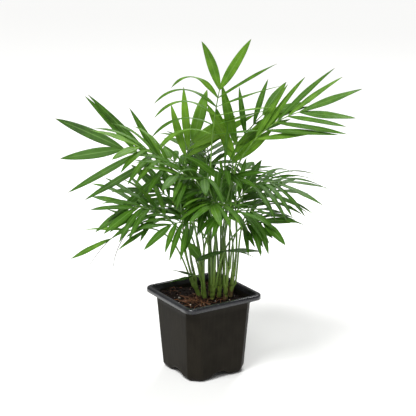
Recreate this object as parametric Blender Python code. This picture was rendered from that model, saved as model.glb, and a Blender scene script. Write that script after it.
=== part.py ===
"""Potted parlour palm: seven seedlings growing together in a square nursery pot.

Frame: metres, +Z up, the ground at z = 0, the origin under the middle of the pot,
the pot's sides along X and Y. Every frond is one grown piece: a stalk (petiole),
its midrib (rachis) and the leaflets on both sides of it, opened towards the light.
"""
import math

import bmesh
import bpy
from mathutils import Matrix, Vector
from mathutils.bvhtree import BVHTree

MM = 0.001
UP = Vector((0.0, 0.0, 1.0))

# ---------------------------------------------------------------- pot (metres)
POT_SIDE = 0.108            # rim, outside to outside
POT_HEIGHT = 0.1025
RIM_OVERHANG = 0.00675      # rim beyond the wall, on each side
WALL_TAPER = 0.0060         # how far each wall leans in from the rim to the foot
WALL = 0.0010
LIP_HEIGHT = 0.0058         # turned-down edge of the rim
RIM_WIDTH = 0.0060          # flat top of the rim, lip to opening
RIM_ROUND = 0.0012
SHOULDER = 0.0060           # depth over which the opening narrows into the wall
RIM_CORNER = 0.0110         # corner radius of the rim
BODY_CORNER = 0.0120        # leg of the chamfer that each corner of the wall has
FOOT_ROUND = 0.0080         # rounding between wall and foot
ARCH_RISE = 0.0060          # height of the arched notch in the middle of each side
ARCH_FLAT = 0.0050          # half width of the top of the notch
ARCH_HALF = 0.0160          # half width of the notch at the ground
ARCH_REACH = 0.040          # height at which the notch has faded out of the wall
DRAIN_RADIUS = 0.0060

# --------------------------------------------------------------- soil and fits
SOIL_DROP = 0.0115          # soil surface below the rim
SOIL_MOUND = 0.0015         # soil heaped up in the middle
SOIL_HEAP = 0.0035          # and against the wall at the clump's left
FIT_GAP = 0.0003            # between pieces that touch
CHAMFER_INSET = 0.586       # a chamfer's leg shrinks by this share of how far its square is inset
SWAY_GAP = 0.0005           # kept free between fronds that pass each other
ROOT_SWAY = 0.0003          # and round the root of a leaflet
ROOT_DEPTH = 0.0120         # length of stem below the soil surface

# --------------------------------------------------------------- clump of palms
PLANT_HEIGHT = 0.334        # soil to the highest leaf tip
PLANT_SPREAD = 0.346        # tip to tip, across the broad side
GROWN_HEIGHT = 0.334        # the height and spread the table below is written for
GROWN_SPREAD = 0.346
CLUMP_TURN = math.radians(-32.4)    # the broad side of the clump against the pot's front
PETIOLE_FOOT = 0.00125      # half thickness of a stalk where it leaves its stem
PETIOLE_TOP = 0.00085       # and where the first leaflets grow
RACHIS_END = 0.00055
LEAF_THICKNESS = 0.00055
LEAFLET_FOOT = 0.0030       # length of midrib that one leaflet grows from
END_BROAD = 1.25            # width of a frond's end pair against its other leaflets
SIDE_SLIM = 0.82
DRY_WIDTH = 0.0010          # a leaflet that has dried to a thread
ANGLE_SPREAD = 7.0          # degrees by which leaflets of a frond differ in their angle
LIFT_SPREAD = 9.0           # and in their lift
LENGTH_SPREAD = 0.14        # and the share by which they differ in length
END_DROOP = 0.35            # droop of a frond's end pair against its other leaflets

BODY_SIDE = POT_SIDE - 2 * RIM_OVERHANG
BASE_SIDE = BODY_SIDE - 2 * WALL_TAPER
SOIL_TOP = POT_HEIGHT - SOIL_DROP
SPREAD = PLANT_SPREAD / GROWN_SPREAD
RISE = PLANT_HEIGHT / GROWN_HEIGHT
ACROSS = Vector((math.cos(CLUMP_TURN), math.sin(CLUMP_TURN), 0.0))
BACK = Vector((-math.sin(CLUMP_TURN), math.cos(CLUMP_TURN), 0.0))

# stem: foot across and back, lean across and back, height over the soil, radius (mm)
STEMS = (
    (-5, 6, -10, 2, 30, 2.4),
    (2, -2, -4, 0, 44, 2.3),
    (9, 10, 0, 3, 52, 2.5),
    (11, -4, 3, -2, 40, 2.6),
    (19, 3, 3, 2, 56, 2.4),
    (27, -3, 3, -2, 46, 2.3),
    (33, 7, 6, 4, 42, 2.6),
)

# frond: stem, height on it (1 is its top), crown and tip (across, back, up; mm),
# pairs of leaflets, leaflet length and width (mm), angle to the midrib at the first
# pair and at the end pair, side the upper face looks to (heading, elevation), how far
# leaflets turn flat to the light, droop on each side, lift, sweep to one side (degrees)
FRONDS = (
    (2, 1.00, (11, 12, 202), (20, 4, 265), 6, 78, 9.5, 70, 20, -95, 30, 1.0, 0.3, 1.9, 4, 0),
    (0, 1.00, (-45, -4, 164), (-98, 2, 191), 4, 93, 10.5, 50, 18, -95, 25, 0.1, 0.1, 0.15, 2, -32),
    (1, 0.90, (-38, -34, 177), (-76, -58, 209), 5, 62, 9, 50, 22, -75, 60, 0.5, 0.9, 1.1, 0, 0),
    (0, 0.50, (-62, -10, 94), (-114, -18, 82), 3, 56, 8, 40, 12, -80, 55, 0.6, 0.3, 0.4, 0, 0),
    (1, 0.60, (-38, -24, 106), (-80, -44, 124), 5, 60, 9, 45, 22, -80, 50, 0.5, 0.5, 0.6, 0, 0),
    (4, 1.00, (60, -6, 202), (116, -14, 240), 5, 80, 9.5, 27, 12, -85, 45, 0.4, 0.2, 0.25, 2, 8),
    (5, 0.80, (50, 22, 198), (74, 28, 228), 3, 60, 9, 34, 11, -90, 40, 0.3, 0.3, 0.3, 4, 0),
    (6, 0.90, (56, -12, 147), (86, -22, 156), 5, 72, 8.5, 42, 16, -60, 70, 0.9, 1.1, 1.1, 0, 0),
    (1, 1.00, (-22, 26, 171), (-12, 34, 193), 3, 76, 12, 28, 14, -90, 10, 0.0, 0.05, 0.05, 0, 0),
    (4, 0.85, (36, 16, 168), (42, 10, 205), 4, 66, 15, 28, 14, -90, 15, 0.0, 0.05, 0.05, 0, 0),
    (6, 0.60, (44, -40, 135), (34, -66, 157), 4, 62, 12, 70, 35, -90, 60, 0.7, 1.3, 1.0, 0, 0),
    (3, 1.00, (-6, -38, 157), (-30, -68, 179), 5, 60, 9.5, 48, 20, -80, 55, 0.6, 0.9, 1.0, 0, 0),
    (3, 0.80, (14, -44, 135), (10, -82, 145), 5, 56, 8.5, 50, 22, -80, 65, 0.8, 0.9, 0.9, 0, 0),
    (5, 0.60, (34, -18, 115), (60, -36, 123), 4, 62, 8, 40, 16, -60, 65, 0.8, 0.8, 0.8, 0, 0),
    (0, 0.85, (-20, 41, 141), (-43, 71, 161), 5, 66, 9.5, 48, 18, 120, 65, 0.7, 0.6, 0.6, 0, 0),
    (6, 1.00, (42, 38, 135), (54, 70, 147), 5, 54, 8.5, 46, 18, 60, 65, 0.7, 0.8, 0.8, 0, 0),
    (2, 0.80, (8, 49, 155), (3, 88, 179), 5, 66, 9.5, 48, 18, 90, 65, 0.7, 0.6, 0.6, 0, 0),
    (1, 0.45, (-30, 33, 93), (-60, 57, 105), 5, 60, 8.5, 46, 18, 120, 65, 0.7, 0.7, 0.7, 0, 0),
    (4, 0.70, (48, 32, 97), (70, 54, 110), 5, 56, 8, 42, 18, 60, 65, 0.8, 0.9, 0.9, 0, 0),
    (3, 0.55, (-8, -34, 105), (-36, -60, 113), 5, 54, 8.5, 50, 20, -80, 60, 0.7, 0.8, 0.8, 0, 0),
    (5, 0.40, (22, -4, 149), (30, -24, 177), 5, 58, 9.5, 50, 20, -85, 50, 0.6, 0.6, 0.6, 0, 0),
    (2, 0.60, (-2, 30, 131), (-22, 56, 151), 5, 60, 9.5, 50, 20, -90, 60, 0.6, 0.6, 0.6, 0, 0),
    (4, 0.50, (22, -20, 68), (26, -30, 71), 2, 52, 13, 82, 78, -85, 70, 0.5, 0.6, 0.6, 0, 0),
    (1, 0.15, (-6, -6, 31), (-14, -8, 33), 1, 36, 4, 24, 22, -85, 60, 0.8, 0.3, 0.2, 0, 0),
    (1, 0.30, (-5, -10, 47), (-9, -12, 59), 1, 34, 10, 30, 20, -90, 10, 0.0, 0.1, 0.1, 0, 0),
    (1, 0.38, (-14, 8, 92), (-30, 4, 112), 4, 50, 8.5, 48, 22, -90, 45, 0.5, 0.6, 0.6, 0, 0),
    (3, 0.35, (4, 12, 98), (-4, 26, 122), 4, 52, 9, 48, 22, -90, 45, 0.5, 0.5, 0.5, 0, 0),
    (4, 0.32, (30, 14, 112), (42, 24, 136), 4, 52, 9, 46, 20, -85, 45, 0.5, 0.6, 0.6, 0, 0),
    (5, 0.92, (44, -14, 96), (60, -28, 106), 4, 54, 8, 44, 18, -70, 60, 0.7, 0.9, 0.9, 0, 0),
    (3, 0.45, (20, -52, 106), (26, -80, 116), 4, 54, 9.5, 50, 20, -85, 55, 0.7, 0.9, 0.9, 0, 0),
    (1, 0.75, (-18, -54, 126), (-32, -84, 136), 4, 54, 9.5, 50, 20, -85, 55, 0.7, 0.9, 0.9, 0, 0),
    (2, 0.45, (14, 46, 108), (18, 76, 120), 4, 56, 9.5, 48, 20, 90, 55, 0.7, 0.7, 0.7, 0, 0),
    (0, 0.70, (-34, 14, 118), (-56, 22, 132), 4, 54, 9.5, 48, 20, -90, 45, 0.6, 0.7, 0.7, 0, 0),
    (5, 0.70, (30, -34, 158), (44, -62, 170), 4, 56, 9.5, 48, 20, -85, 50, 0.7, 0.9, 0.9, 0, 0),
    (6, 0.40, (62, 6, 120), (88, 12, 130), 4, 60, 8, 44, 18, -60, 60, 0.8, 0.9, 0.9, 0, 0),
    (0, 0.35, (-52, -30, 122), (-82, -44, 130), 4, 56, 9, 46, 20, -85, 50, 0.6, 0.9, 0.9, 0, 0),
    (4, 0.58, (22, 42, 156), (34, 72, 174), 4, 60, 9.5, 48, 20, 90, 55, 0.7, 0.7, 0.7, 0, 0),
    (2, 0.30, (-4, -22, 134), (-14, -48, 150), 4, 54, 10, 50, 22, -85, 50, 0.6, 0.9, 0.9, 0, 0),
)

# leaflets that have dried to threads: frond, pair and side -> length (mm), droop, curl
DRY_LEAFLETS = {
    (3, 1, -1): (70, 2.2, 0.9),
    (3, 2, -1): (56, 1.2, -0.3),
    (22, 0, 1): (62, 2.4, -2.6),
}

# pieces half sunk in the soil: across, back, size (mm), turn (degrees)
PERLITE = ((-30, -6, 1.9, 20), (-16, -26, 1.6, 70), (2, -34, 2.1, 40), (20, -24, 1.5, 10))
BARK = ((-22, -14, 3.6, 30), (-12, 14, 3.2, 75), (6, -20, 3.8, 120), (38, -12, 3.0, 50))

# shape of a leaflet: distance along it and share of its full width
LEAF_SHAPE = ((0.16, 0.55), (0.42, 1.0), (0.74, 0.70))
LEAF_STEPS = 25             # small steps a leaflet's curve is grown in
TURNS = (0, 6, -6, 12, -12, 18, -18)
LIFTS = (0, 12, -12, 24, -24, 36)
LENGTHS = (1.0, 0.8, 0.6, 0.4)
SWINGS = (0, 4, -4, 8, -8, 12, -12, 16, -16, 20, -20, 26, -26, 34, -34, 42, -42)
DROPS = (0.0, 0.12, 0.24, 0.36, -0.12)


def place(across, back, up):
    """A point of the clump (mm): across its broad side, back into it, up from the soil."""
    flat = (ACROSS * across + BACK * back) * (SPREAD * MM)
    return flat + UP * (SOIL_TOP + up * RISE * MM)


def vary(*keys):
    """A fixed number from -1 to 1 for each leaflet, so that no two grow alike."""
    total = sum((i + 1) * 12.9898 * key for i, key in enumerate(keys))
    wave = math.sin(total + 4.1) * 43758.5453
    return 2.0 * (wave - math.floor(wave)) - 1.0


def bezier(points, t):
    a, b, c, d = points
    u = 1.0 - t
    return a * u ** 3 + b * (3 * u * u * t) + c * (3 * u * t * t) + d * t ** 3


def across_to(vector, axis):
    """The part of a vector square to an axis, as a direction."""
    return (vector - axis * vector.dot(axis)).normalized()


def stem_line(index):
    """Where a stem enters the soil, its direction, its length over the soil, its radius."""
    foot_a, foot_b, lean_a, lean_b, height, radius = STEMS[index]
    foot = place(foot_a, foot_b, 0)
    top = place(foot_a + lean_a, foot_b + lean_b, height)
    return foot, (top - foot).normalized(), (top - foot).length, radius * MM


def stem_radius(radius, share):
    return radius * (1.1 - 0.35 * max(share, 0.0))


def frond_axis(row, swing, drop):
    """The curves of the stalk and of the midrib, and the direction the upper face looks."""
    stem, at, crown, tip = row[0:4]
    at = at - drop
    heading, elevation = math.radians(row[9]), math.radians(row[10])
    foot, way, length, radius = stem_line(stem)
    base = foot + way * (length * at)
    spin = Matrix.Rotation(math.radians(swing), 3, 'Z')
    crown = foot + spin @ (place(*crown) - foot)
    tip = foot + spin @ (place(*tip) - foot)
    out = across_to(crown - base, way)
    if at < 1.0:
        base = base + out * (stem_radius(radius, at) + PETIOLE_FOOT + FIT_GAP)
    else:
        base = base + way * FIT_GAP
    stalk = (crown - base).length
    rib = (tip - crown).length
    ahead = (tip - crown).normalized()
    bend = ((crown - base).normalized() * 0.4 + ahead * 0.6).normalized()
    end = (ahead - UP * 0.25 - (bend - ahead) * 0.3).normalized()
    petiole = (base, base + way * (stalk * 0.4), crown - bend * (stalk * 0.3), crown)
    rachis = (crown, crown + bend * (rib * 0.35), tip - end * (rib * 0.3), tip)
    flat = ACROSS * math.cos(heading) + BACK * math.sin(heading)
    face = flat * math.cos(elevation) + UP * math.sin(elevation)
    return petiole, rachis, face


def rib_frame(rachis, face, t):
    """Point, direction, upper face and side of the midrib at t."""
    t0 = min(t, 0.98)
    along = (bezier(rachis, t0 + 0.02) - bezier(rachis, t0)).normalized()
    upper = across_to(face, along)
    return bezier(rachis, t), along, upper, along.cross(upper)


def leaflet(row, number, rachis, face, pair, side, change):
    """A leaflet: its root on the midrib and a list of (point, width direction, normal)."""
    pairs, leaf_length, leaf_width, first, last = row[4:9]
    light, lift, sweep = row[11], row[14], row[15]
    droop = row[12] if side > 0 else row[13]
    turn, raised, share = change
    along_rib = pair / (pairs - 1) if pairs > 1 else 1.0
    ends = pair == pairs - 1
    point, along, upper, right = rib_frame(rachis, face, leaf_station(row, rachis, pair))
    one, two, three = (vary(number, pair, side, key) for key in (0, 3, 7))
    angle = last if ends else first + (last - first) * 0.6 * along_rib
    angle = angle + side * sweep * (1.0 - along_rib)
    angle = math.radians(angle + ANGLE_SPREAD * one + turn)
    up = math.radians(lift + LIFT_SPREAD * two + raised)
    out = right * (side * math.cos(up)) + upper * math.sin(up)
    start = (along * math.cos(angle) + out * math.sin(angle)).normalized()
    swell = 0.82 + 0.36 * math.sin(math.pi * (0.15 + 0.6 * along_rib)) - 0.18 * along_rib
    length = leaf_length * MM * RISE * swell * (1.0 + LENGTH_SPREAD * three) * share
    droop = droop * (1.0 + 0.25 * two) * (END_DROOP if ends else 1.0)
    width = leaf_width * MM * RISE * (END_BROAD if ends else SIDE_SLIM) * math.sqrt(share)
    curl = 0.0
    if (number, pair, side) in DRY_LEAFLETS:
        length, droop, curl = DRY_LEAFLETS[(number, pair, side)]
        length = length * MM * RISE * share
        width = DRY_WIDTH
    line = [point]
    for step in range(LEAF_STEPS):
        s = (step + 0.5) / LEAF_STEPS
        way = start - UP * (droop * s ** 1.2) + along * (0.15 * s) + ACROSS * (curl * s * s)
        line.append(line[-1] + way.normalized() * (length / LEAF_STEPS))
    sections = []
    for s, share_of_width in LEAF_SHAPE:
        step = round(s * LEAF_STEPS)
        way = (line[step + 1] - line[step - 1]).normalized()
        flat = light * (1.0 - way.z * way.z)
        normal = across_to(upper * (1.0 - flat) + UP * flat, way)
        sections.append((line[step], normal.cross(way) * (width * share_of_width / 2), normal))
    return sections, line[-1], side, upper


def leaf_station(row, rachis, pair):
    """How far along the midrib a pair grows: the last pair sits just short of its end."""
    pairs = row[4]
    rib = (rachis[3] - rachis[0]).length
    edge = LEAFLET_FOOT / rib
    share = pair / (pairs - 1) if pairs > 1 else 1.0
    return edge + share * (1.0 - 2.0 * edge)


def square_ring(centre, side, upper, half):
    """Four corners round a midrib: left-top, left-bottom, right-bottom, right-top."""
    return [centre + side * (a * half) + upper * (b * half)
            for a, b in ((-1, 1), (-1, -1), (1, -1), (1, 1))]


def frond_rings(row, petiole, rachis, face):
    """Rings along stalk and midrib; ring numbers at which each pair of leaflets starts."""
    steps = 7
    middle, slots, rings = [], [], []
    for step in range(steps):
        t = step / steps
        thick = PETIOLE_FOOT + (PETIOLE_TOP - PETIOLE_FOOT) * t
        ahead = (bezier(petiole, t + 0.01) - bezier(petiole, t)).normalized()
        middle.append((bezier(petiole, t), ahead, thick))
    rib = (rachis[3] - rachis[0]).length
    edge = LEAFLET_FOOT / rib / 2.0
    for pair in range(row[4]):
        station = leaf_station(row, rachis, pair)
        slots.append(len(middle))
        for t in (station - edge, station + edge):
            thick = PETIOLE_TOP + (RACHIS_END - PETIOLE_TOP) * t
            _, along, _, _ = rib_frame(rachis, face, t)
            middle.append((bezier(rachis, min(t, 1.0)), along, thick))
    start = slots[0]
    uppers = [None] * len(middle)
    uppers[start] = across_to(face, middle[start][1])
    for i in range(start - 1, -1, -1):
        uppers[i] = across_to(uppers[i + 1], middle[i][1])
    for i in range(start + 1, len(middle)):
        uppers[i] = across_to(face, middle[i][1])
    for (centre, along, thick), upper in zip(middle, uppers):
        half = thick * math.sqrt(0.5)
        rings.append(square_ring(centre, along.cross(upper), upper, half))
    return rings, slots


def leaf_ring(point, wide, normal, side, extra=0.0):
    """Four corners of a leaflet section: near-top, near-bottom, far-bottom, far-top."""
    half = normal * (LEAF_THICKNESS / 2 + extra)
    reach = wide * side
    if extra:
        reach = reach + reach.normalized() * extra
    return [point - reach + half, point - reach - half, point + reach - half, point + reach + half]


def two_triangles(a, b, c, d):
    """A four-sided face as triangles, so that a twisted one is the same wherever it is used."""
    return [(a, b, c), (a, c, d)]


def loft(rings, tip=None):
    """A closed body through rings of four corners, ending in a flat cap or a point."""
    verts = [corner for ring in rings for corner in ring]
    faces = [(3, 2, 1, 0)]
    for k in range(len(rings) - 1):
        for c in range(4):
            d = (c + 1) % 4
            faces += two_triangles(4 * k + c, 4 * k + d, 4 * k + 4 + d, 4 * k + 4 + c)
    last = 4 * (len(rings) - 1)
    if tip is None:
        faces.append((last, last + 1, last + 2, last + 3))
    else:
        verts.append(tip)
        for c in range(4):
            faces.append((last + c, last + (c + 1) % 4, len(verts) - 1))
    return verts, faces


class Occupied:
    """The bodies already in place, for growing each new frond clear of them."""

    def __init__(self):
        self.bodies = []

    def add(self, name, verts, faces):
        low = [min(v[k] for v in verts) for k in range(3)]
        high = [max(v[k] for v in verts) for k in range(3)]
        self.bodies.append((name, low, high, BVHTree.FromPolygons(verts, faces)))

    def free(self, verts, faces, without=()):
        low = [min(v[k] for v in verts) for k in range(3)]
        high = [max(v[k] for v in verts) for k in range(3)]
        tree = None
        for name, body_low, body_high, body in self.bodies:
            if name in without:
                continue
            if any(low[k] > body_high[k] or high[k] < body_low[k] for k in range(3)):
                continue
            if tree is None:
                tree = BVHTree.FromPolygons(verts, faces)
            if tree.overlap(body):
                return False
        return True


def settle_axis(number, row, occupied):
    """Swing a frond about its stem, or start it lower, until it passes the stalks beside it."""
    for drop in DROPS:
        for swing in SWINGS:
            petiole, rachis, face = frond_axis(row, swing, drop)
            rings, slots = frond_rings(row, petiole, rachis, face)
            wide = []
            for ring in rings:
                centre = sum(ring, Vector()) / 4
                wide.append([c + (c - centre).normalized() * SWAY_GAP * 1.5 for c in ring])
            verts, faces = loft(wide)
            if occupied.free(verts, faces, without=('stem_%d' % (row[0] + 1),)):
                occupied.add('axis_%d' % number, *loft(rings))
                return petiole, rachis, face, rings, slots
    occupied.add('axis_%d' % number, *loft(rings))
    return petiole, rachis, face, rings, slots


def settle_leaflet(row, number, axis, pair, side, occupied):
    """Turn, lift or shorten a leaflet until it hangs clear; None where there is no room."""
    petiole, rachis, face, rings, slots = axis
    slot = slots[pair]
    root = slot_corners(rings, slot, side)
    for share in LENGTHS:
        for lift in LIFTS:
            for turn in TURNS:
                sections, tip, _, _ = leaflet(row, number, rachis, face, pair, side,
                                              (turn, lift, share))
                if trial_clear(number, root, sections, tip, side, occupied):
                    body = [leaf_ring(p, w, n, side) for p, w, n in sections]
                    verts, faces = loft([root] + body, tip)
                    occupied.add('leaf_%d' % number, verts, faces)
                    return body, tip
    return None


def trial_clear(number, root, sections, tip, side, occupied):
    """Whether a leaflet, made thicker by the sway gap, meets any body already placed."""
    wide = [leaf_ring(p, w, n, side, SWAY_GAP) for p, w, n in sections]
    ahead = (tip - sections[-1][0]).normalized() * SWAY_GAP
    verts, faces = loft(wide, tip + ahead)
    if not occupied.free(verts, faces):
        return False
    centre = sum(root, Vector()) / 4
    swollen = [corner + (corner - centre).normalized() * ROOT_SWAY for corner in root]
    verts, faces = loft([swollen, wide[0]])
    return occupied.free(verts, faces, without=('axis_%d' % number,))


def slot_corners(rings, slot, side):
    """The face of the midrib that a leaflet grows from, in the order of its sections."""
    near, far = rings[slot], rings[slot + 1]
    top, bottom = (3, 2) if side > 0 else (0, 1)
    return [near[top], near[bottom], far[bottom], far[top]]


def build_frond(name, rings, slots, leaves):
    """One closed body: a square tube whose side faces are drawn out into leaflets."""
    mesh = bmesh.new()
    tube = [[mesh.verts.new(corner) for corner in ring] for ring in rings]
    mesh.faces.new(tube[0][::-1])
    mesh.faces.new(tube[-1])
    for k in range(len(tube) - 1):
        for c in range(4):
            side = -1 if c == 0 else 1 if c == 2 else 0
            grown = leaves.get((k, side)) if side else None
            d = (c + 1) % 4
            if grown is None:
                for face in two_triangles(tube[k][c], tube[k][d], tube[k + 1][d], tube[k + 1][c]):
                    mesh.faces.new(face)
                continue
            top, bottom = (3, 2) if side > 0 else (0, 1)
            before = [tube[k][top], tube[k][bottom], tube[k + 1][bottom], tube[k + 1][top]]
            sections, tip = grown
            for section in sections:
                after = [mesh.verts.new(corner) for corner in section]
                join_rings(mesh, before, after)
                before = after
            point = mesh.verts.new(tip)
            for c2 in range(4):
                mesh.faces.new((before[c2], before[(c2 + 1) % 4], point))
    face_outwards(mesh)
    return finish_object(name, mesh)


def face_outwards(mesh):
    bmesh.ops.recalc_face_normals(mesh, faces=mesh.faces)
    if mesh.calc_volume(signed=True) < 0.0:
        bmesh.ops.reverse_faces(mesh, faces=mesh.faces)


def join_rings(mesh, before, after):
    for c in range(4):
        d = (c + 1) % 4
        for face in two_triangles(before[c], before[d], after[d], after[c]):
            mesh.faces.new(face)


def finish_object(name, mesh, collection='potted_palm'):
    data = bpy.data.meshes.new(name)
    mesh.to_mesh(data)
    mesh.free()
    thing = bpy.data.objects.new(name, data)
    bpy.data.collections[collection].objects.link(thing)
    return thing


def paint(thing, colour, roughness):
    material = bpy.data.materials.new(thing.name)
    material.use_nodes = True
    shader = material.node_tree.nodes['Principled BSDF']
    shader.inputs['Base Color'].default_value = (*colour, 1.0)
    shader.inputs['Roughness'].default_value = roughness
    thing.data.materials.append(material)


# ------------------------------------------------------------------------ pot
def arc_corner(half, corner):
    """Two points inside a corner that is an arc."""
    near, far = corner * (1.0 - math.cos(math.radians(30))), corner * 0.5
    return ((half - near, half - far), (half - far, half - near))


def chamfer_corner(half, corner):
    """Two points inside a corner that is a flat chamfer with softened edges."""
    near, far = corner * 0.14, corner * 0.80
    return ((half - near, half - far), (half - far, half - near))


def square_loop(half, corner, height, marks, corner_points=chamfer_corner):
    """A ring of points: each side at the given marks, then two points for its corner."""
    corner = min(corner, half)
    ring = []
    for quarter in range(4):
        turn = Matrix.Rotation(math.radians(90 * quarter), 3, 'Z')
        for mark in marks:
            ring.append(turn @ Vector((half, mark * (half - corner), height)))
        for x, y in corner_points(half, corner):
            ring.append(turn @ Vector((x, y, height)))
    return ring


def smooth(low, high, value):
    t = min(max((value - low) / (high - low), 0.0), 1.0)
    return t * t * (3.0 - 2.0 * t)


def arch(x, y):
    """Share of the notch's rise over a point: 1 along the raised cross, 0 on the feet."""
    return 1.0 - smooth(ARCH_FLAT, ARCH_HALF, abs(x)) * smooth(ARCH_FLAT, ARCH_HALF, abs(y))


def outer_half(height):
    """Half the distance between the outer wall faces at a height."""
    low, high = BASE_SIDE / 2, BODY_SIDE / 2
    return low + (high - low) * (height - FOOT_ROUND) / (POT_HEIGHT - FOOT_ROUND)


def inner_half(height):
    return outer_half(height) - WALL


def foot_rings(wall_half, radius, corner, floor):
    """The rounding from the wall to the flat of the feet, as an arc in three steps."""
    return [
        (wall_half, corner, floor + radius),
        (wall_half - radius * 0.134, corner - radius * 0.134 * CHAMFER_INSET, floor + radius * 0.5),
        (wall_half - radius * 0.5, corner - radius * 0.5 * CHAMFER_INSET, floor + radius * 0.134),
        (wall_half - radius, corner - radius * CHAMFER_INSET, floor),
        (ARCH_HALF * 1.3, ARCH_HALF * 0.29, floor),
    ]


def pot_ring(mesh, size, corner, height, floor):
    ring = []
    fade = max(1.0 - (height - floor) / ARCH_REACH, 0.0) ** 2
    in_rim = size > POT_SIDE / 2 - RIM_WIDTH - FIT_GAP
    shape = arc_corner if in_rim else chamfer_corner
    for point in square_loop(size, corner, height, (-1.0, -0.5, -0.2, 0.2, 0.5, 1.0), shape):
        lifted = ARCH_RISE * arch(point.x, point.y) * fade
        ring.append(mesh.verts.new(point + UP * lifted))
    return ring


def drain_ring(mesh, like, radius, height):
    """A round ring with as many points as the square ring outside it."""
    ring = []
    for vert in like:
        flat = Vector((vert.co.x, vert.co.y, 0.0)).normalized() * radius
        ring.append(mesh.verts.new(flat + UP * height))
    return ring


def build_pot():
    """The moulded shell: its inner face from lip to drain hole, then its outer face back."""
    half = POT_SIDE / 2
    opening = half - RIM_WIDTH
    mouth = RIM_CORNER - RIM_WIDTH
    inset = BODY_CORNER - WALL * CHAMFER_INSET
    top = POT_HEIGHT
    soft = WALL * 0.6
    inside = [
        (half, RIM_CORNER, top - LIP_HEIGHT),
        (half, RIM_CORNER, top - RIM_ROUND),
        (half - RIM_ROUND, RIM_CORNER - RIM_ROUND, top),
        (opening + RIM_ROUND, mouth + RIM_ROUND, top),
        (opening, mouth, top - RIM_ROUND),
        (inner_half(top - SHOULDER), inset, top - SHOULDER),
        (inner_half(ARCH_REACH), inset, ARCH_REACH),
        (inner_half(ARCH_REACH / 2), inset, ARCH_REACH / 2),
    ]
    inside += foot_rings(inner_half(FOOT_ROUND), FOOT_ROUND - WALL, inset, WALL)
    outside = foot_rings(outer_half(FOOT_ROUND), FOOT_ROUND, BODY_CORNER, 0.0)[::-1]
    outside += [
        (outer_half(ARCH_REACH / 2), BODY_CORNER, ARCH_REACH / 2),
        (outer_half(ARCH_REACH), BODY_CORNER, ARCH_REACH),
        (outer_half(top - SHOULDER), BODY_CORNER, top - SHOULDER),
        (opening + WALL, mouth + WALL, top - WALL - soft),
        (opening + WALL + soft, mouth + WALL + soft, top - WALL),
        (half - WALL - soft, RIM_CORNER - WALL - soft, top - WALL),
        (half - WALL, RIM_CORNER - WALL, top - WALL - soft),
        (half - WALL, RIM_CORNER - WALL, top - LIP_HEIGHT),
    ]
    mesh = bmesh.new()
    rings = [pot_ring(mesh, *row, WALL) for row in inside]
    like = rings[-1]
    for radius in (DRAIN_RADIUS * 1.4, DRAIN_RADIUS):
        rings.append(drain_ring(mesh, like, radius, WALL + ARCH_RISE))
    for radius in (DRAIN_RADIUS, DRAIN_RADIUS * 1.4):
        rings.append(drain_ring(mesh, like, radius, ARCH_RISE))
    rings += [pot_ring(mesh, *row, 0.0) for row in outside]
    for ring, after in zip(rings, rings[1:] + rings[:1]):
        join_loops(mesh, ring, after)
    face_outwards(mesh)
    pot = finish_object('pot', mesh)
    paint(pot, (0.028, 0.027, 0.026), 0.42)
    return pot


def join_loops(mesh, below, above):
    for k in range(len(below)):
        n = (k + 1) % len(below)
        mesh.faces.new((below[k], below[n], above[n], above[k]))


# ----------------------------------------------------------------------- soil
def soil_heap(point):
    """How much higher the soil lies at a point than at the middle of the pot."""
    share = -point.dot(ACROSS) / inner_half(SOIL_TOP)
    return UP * (SOIL_HEAP * smooth(0.2, 1.0, share))


def build_soil():
    marks = (-1.0, -0.33, 0.33, 1.0)
    floor = WALL + ARCH_RISE + FIT_GAP
    mesh = bmesh.new()
    rings = []
    edge = FIT_GAP * 1.5
    foot = inner_half(FOOT_ROUND) - edge
    sizes = [
        (foot - FOOT_ROUND, BODY_CORNER, floor),
        (foot, BODY_CORNER, floor + FOOT_ROUND),
        (inner_half(SOIL_TOP) - edge, BODY_CORNER, SOIL_TOP - 0.001),
    ]
    for half, corner, height in sizes:
        ring = square_loop(half, corner, height, marks)
        if height > ARCH_REACH:
            ring = [p + soil_heap(p) for p in ring]
        rings.append([mesh.verts.new(p) for p in ring])
    for share, rise in ((0.93, 0.0), (0.62, 0.7), (0.30, 1.0)):
        ring = []
        for k, p in enumerate(square_loop(sizes[2][0] * share, corner * share, SOIL_TOP, marks)):
            mound = SOIL_MOUND * (rise + 0.25 * vary(k, rise))
            ring.append(mesh.verts.new(p + UP * mound + soil_heap(p)))
        rings.append(ring)
    for below, above in zip(rings, rings[1:]):
        join_loops(mesh, below, above)
    mesh.faces.new(rings[0][::-1])
    middle = mesh.verts.new(UP * (SOIL_TOP + SOIL_MOUND))
    for k in range(len(rings[-1])):
        mesh.faces.new((rings[-1][k], rings[-1][(k + 1) % len(rings[-1])], middle))
    face_outwards(mesh)
    soil = finish_object('soil', mesh)
    paint(soil, (0.045, 0.022, 0.012), 0.95)
    return soil


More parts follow.
